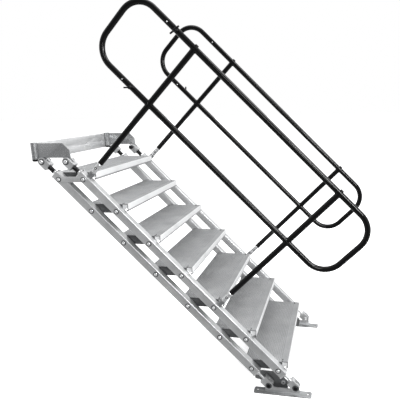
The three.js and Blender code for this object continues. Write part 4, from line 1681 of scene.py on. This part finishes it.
    def clamp_bolt(self) -> Object:
        """The bright heads of the bolt across the clamp."""
        out = self.clamp_radius
        return self.both_ways(self.bench.turned([(4.4, out - 1), (4.4, out + 1.4), (3.6, out + 2)], 24))

    def clamp_ring(self) -> Object:
        """Dark rings round the clamp bolt's heads: painted shade for the bolt holes.

        Returns:
            Both rings as one piece.
        """
        out = self.clamp_radius
        rings = [(4.6, out - 2), (8, out - 2), (8, out + 0.9), (4.6, out + 0.9)]
        return self.both_ways(self.bench.turned(rings, ring=True))

    def both_ways(self, model: Object) -> Object:
        """A part of the clamp's bolt, modelled on the z axis, on both sides of its post."""
        middle = shifted(z=self.clamp_low + self.clamp_bolt_rise)
        return self.bench.repeated(model, [middle @ way for way in (OUTWARD, INWARD)])

    def flange(self) -> Object:
        """The light ring under the black tube.

        Returns:
            The ring.
        """
        low, high, outer = self.post_start, self.post_start + self.flange_height, self.flange_radius
        bore = self.post_spigot + self.layout.gap
        rings = [(bore, low), (outer - 1, low), (outer, low + 1), (outer, high - 1), (outer - 1, high)]
        return self.bench.turned([*rings, (bore, high)], ring=True)

    def add_stacks(self) -> None:
        """Models what holds a post on its tube and sets it under all four."""
        bench, layout = self.bench, self.layout
        rings = [(self.post_spigot, self.socket_low), (self.post_spigot, self.post_spigot_end)]
        stack = {
            "post_socket": (self.socket(), Finish.WEB),
            "post_clamp": (self.clamp(), Finish.ZINC),
            "post_spigot": (bench.turned(rings), Finish.BRIGHT),
            "clamp_bolt": (self.clamp_bolt(), Finish.BRIGHT),
            # Painted shade: dark rings round the clamp bolt heads stand for their holes.
            "clamp_ring": (self.clamp_ring(), Finish.SCREW),
            "post_flange": (self.flange(), Finish.BRIGHT),
        }
        for side in Side:
            for end, run in zip(("uphill", "downhill"), self.post_runs()):
                frame = layout.sided(layout.tier(Tier.UPPER), side) @ shifted(y=-run)
                label = f"{side.value}_{end}"
                solids = {kind: f"{kind}_{label}" for kind in ("post_socket", "post_clamp", "post_spigot")}
                bench.dress(stack, f"*_{label}_piece", "upper_frame", frame, solids)
        bench.clear(stack)


@dataclass(frozen=True)
class Lamp:
    """A soft rectangular lamp: where it hangs, what it faces, its size, power and tilt."""

    name: str
    spot: tuple[float, float, float]
    aim: tuple[float, float, float]
    size: tuple[float, float]
    power: float
    tilt: float = 0.0

    def hang(self) -> None:
        """Adds the lamp to the scene, unseen by the camera."""
        data = bpy.data.lights.new(self.name, "AREA")
        data.shape = "RECTANGLE"
        data.size, data.size_y = self.size
        data.energy = self.power
        lamp = bpy.data.objects.new(self.name, data)
        facing = (Vector(self.aim) - Vector(self.spot)).to_track_quat("-Z", "Y").to_matrix().to_4x4()
        tilted = facing @ Matrix.Rotation(math.radians(self.tilt), 4, "Z")
        lamp.matrix_world = Matrix.Translation(self.spot) @ tilted
        lamp.visible_camera = False
        bpy.context.scene.collection.objects.link(lamp)


@dataclass
class Studio:
    """The camera, the pale floor and the soft lights, in metres."""

    floor: float
    eye: tuple[float, float, float] = (-3.020758, -1.823887, 0.255046)
    right: tuple[float, float, float] = (0.215531, -0.976103, -0.027732)
    down: tuple[float, float, float] = (-0.24266, -0.026029, -0.969762)
    ahead: tuple[float, float, float] = (0.945866, 0.215743, -0.242471)
    focal: float = 466.8434
    middle: tuple[float, float] = (231.3758, 220.3948)
    frame: float = 400.0
    sensor: float = 36.0
    floor_size: float = 120.0
    floor_glow: float = 0.5
    floor_shades: tuple[float, float] = (0.93, 0.95)
    lamps: tuple[Lamp, ...] = (
        Lamp("key", (0.6, -5.0, 4.2), (0, -1.0, -0.5), (3.2, 3.2), 260.0),
        Lamp("top", (0.4, -0.8, 4.6), (0, -1.0, -0.5), (3.6, 3.6), 110.0),
        Lamp("strip", (-3.6, -2.4, 1.2), (0, -1.0, -0.5), (0.5, 2.6), 50.0),
        Lamp("rails", (-1.73, -3.26, 0.91), (-0.475, -1.8, -0.19), (0.25, 1.1), 60.0, 28.0),
        Lamp("inner", (-0.44, -0.85, -0.75), (0.44, -0.85, -0.75), (2.2, 0.3), 3.0, -45.0),
    )
    falloff: dict = field(default_factory=lambda: {"X": (-0.95, -0.45, 0.35), "Z": (-0.65, -0.1, 0.7)})

    def camera(self) -> None:
        """Sets the camera where the photograph was taken from."""
        data = bpy.data.cameras.new("camera")
        camera = bpy.data.objects.new("camera", data)
        bpy.context.scene.collection.objects.link(camera)
        axes = Matrix((self.right, [-v for v in self.down], [-v for v in self.ahead])).transposed()
        camera.matrix_world = Matrix.Translation(self.eye) @ axes.to_4x4()
        data.sensor_width = self.sensor
        data.lens = self.focal / self.frame * self.sensor
        data.shift_x = (self.frame / 2 - self.middle[0]) / self.frame
        data.shift_y = (self.middle[1] - self.frame / 2) / self.frame
        data.clip_end = 200
        bpy.context.scene.camera = camera

    def ground(self) -> None:
        """Lays the plain pale floor."""
        bpy.ops.mesh.primitive_plane_add(size=self.floor_size, location=(0, 0, self.floor))
        floor = bpy.context.active_object
        floor.name = "floor"
        shader = Shader("floor")
        low, high = ((shade, shade, shade) for shade in self.floor_shades)
        shader.set(base_color=shader.blend(shader.noise(3.0, 3.0), low, high), roughness=0.9)
        shader.surface.inputs["Emission Color"].default_value = (1.0, 1.0, 1.0, 1.0)
        shader.surface.inputs["Emission Strength"].default_value = self.floor_glow
        floor.data.materials.append(shader.material)
        floor.visible_glossy = False
        floor.visible_diffuse = False
        floor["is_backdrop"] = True

    def light(self) -> None:
        """Hangs the soft lamps and sets the even light around them."""
        for lamp in self.lamps:
            lamp.hang()
        scene = bpy.context.scene
        scene.world = self.surroundings()
        scene.view_settings.view_transform = "Standard"

    def surroundings(self) -> bpy.types.World:
        """A white studio whose light is weaker at the side of the camera and below.

        Returns:
            The world.
        """
        world = bpy.data.worlds.new("studio")
        world.use_nodes = True
        nodes, links = world.node_tree.nodes, world.node_tree.links
        seen = nodes["Background"]
        seen.inputs["Color"].default_value = (1, 1, 1, 1)
        seen.inputs["Strength"].default_value = 1.0
        lit = nodes.new("ShaderNodeBackground")
        lit.inputs["Color"].default_value = (0.99, 0.995, 1, 1)
        axes = nodes.new("ShaderNodeSeparateXYZ")
        links.new(nodes.new("ShaderNodeTexCoord").outputs["Generated"], axes.inputs[0])
        share = nodes.new("ShaderNodeMath")
        share.operation = "MULTIPLY"
        for place, (axis, (low, high, least)) in enumerate(self.falloff.items()):
            ramp = nodes.new("ShaderNodeMapRange")
            links.new(axes.outputs[axis], ramp.inputs["Value"])
            sockets = {"From Min": low, "From Max": high, "To Min": least, "To Max": 1.0}
            for socket, value in sockets.items():
                ramp.inputs[socket].default_value = value
            links.new(ramp.outputs[0], share.inputs[place])
        links.new(share.outputs[0], lit.inputs["Strength"])
        rays = nodes.new("ShaderNodeLightPath")
        mix = nodes.new("ShaderNodeMixShader")
        links.new(rays.outputs["Is Camera Ray"], mix.inputs["Fac"])
        links.new(lit.outputs["Background"], mix.inputs[1])
        links.new(seen.outputs["Background"], mix.inputs[2])
        links.new(mix.outputs["Shader"], nodes["World Output"].inputs["Surface"])
        return world

    def build(self) -> None:
        """Sets up the whole studio."""
        self.camera()
        self.ground()
        self.light()


def main() -> None:
    """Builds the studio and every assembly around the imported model."""
    logging.basicConfig(level=logging.INFO, format="%(name)s: %(message)s")
    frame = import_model()
    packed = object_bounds()
    bench = Bench()
    bench.pick(next(iter(frame["nodes"].values())))
    layout = Layout()
    fasteners = Fasteners(bench)
    Studio(floor=packed[0][2]).build()
    assemblies = [
        StageBracket(bench, layout, fasteners),
        SlopingTubes(bench, layout, fasteners),
        Treads(bench, layout),
        FloorFeet(bench, layout, fasteners),
        Handrails(bench, layout),
    ]
    for assembly in assemblies:
        assembly.build()


if __name__ == "__main__":
    main()
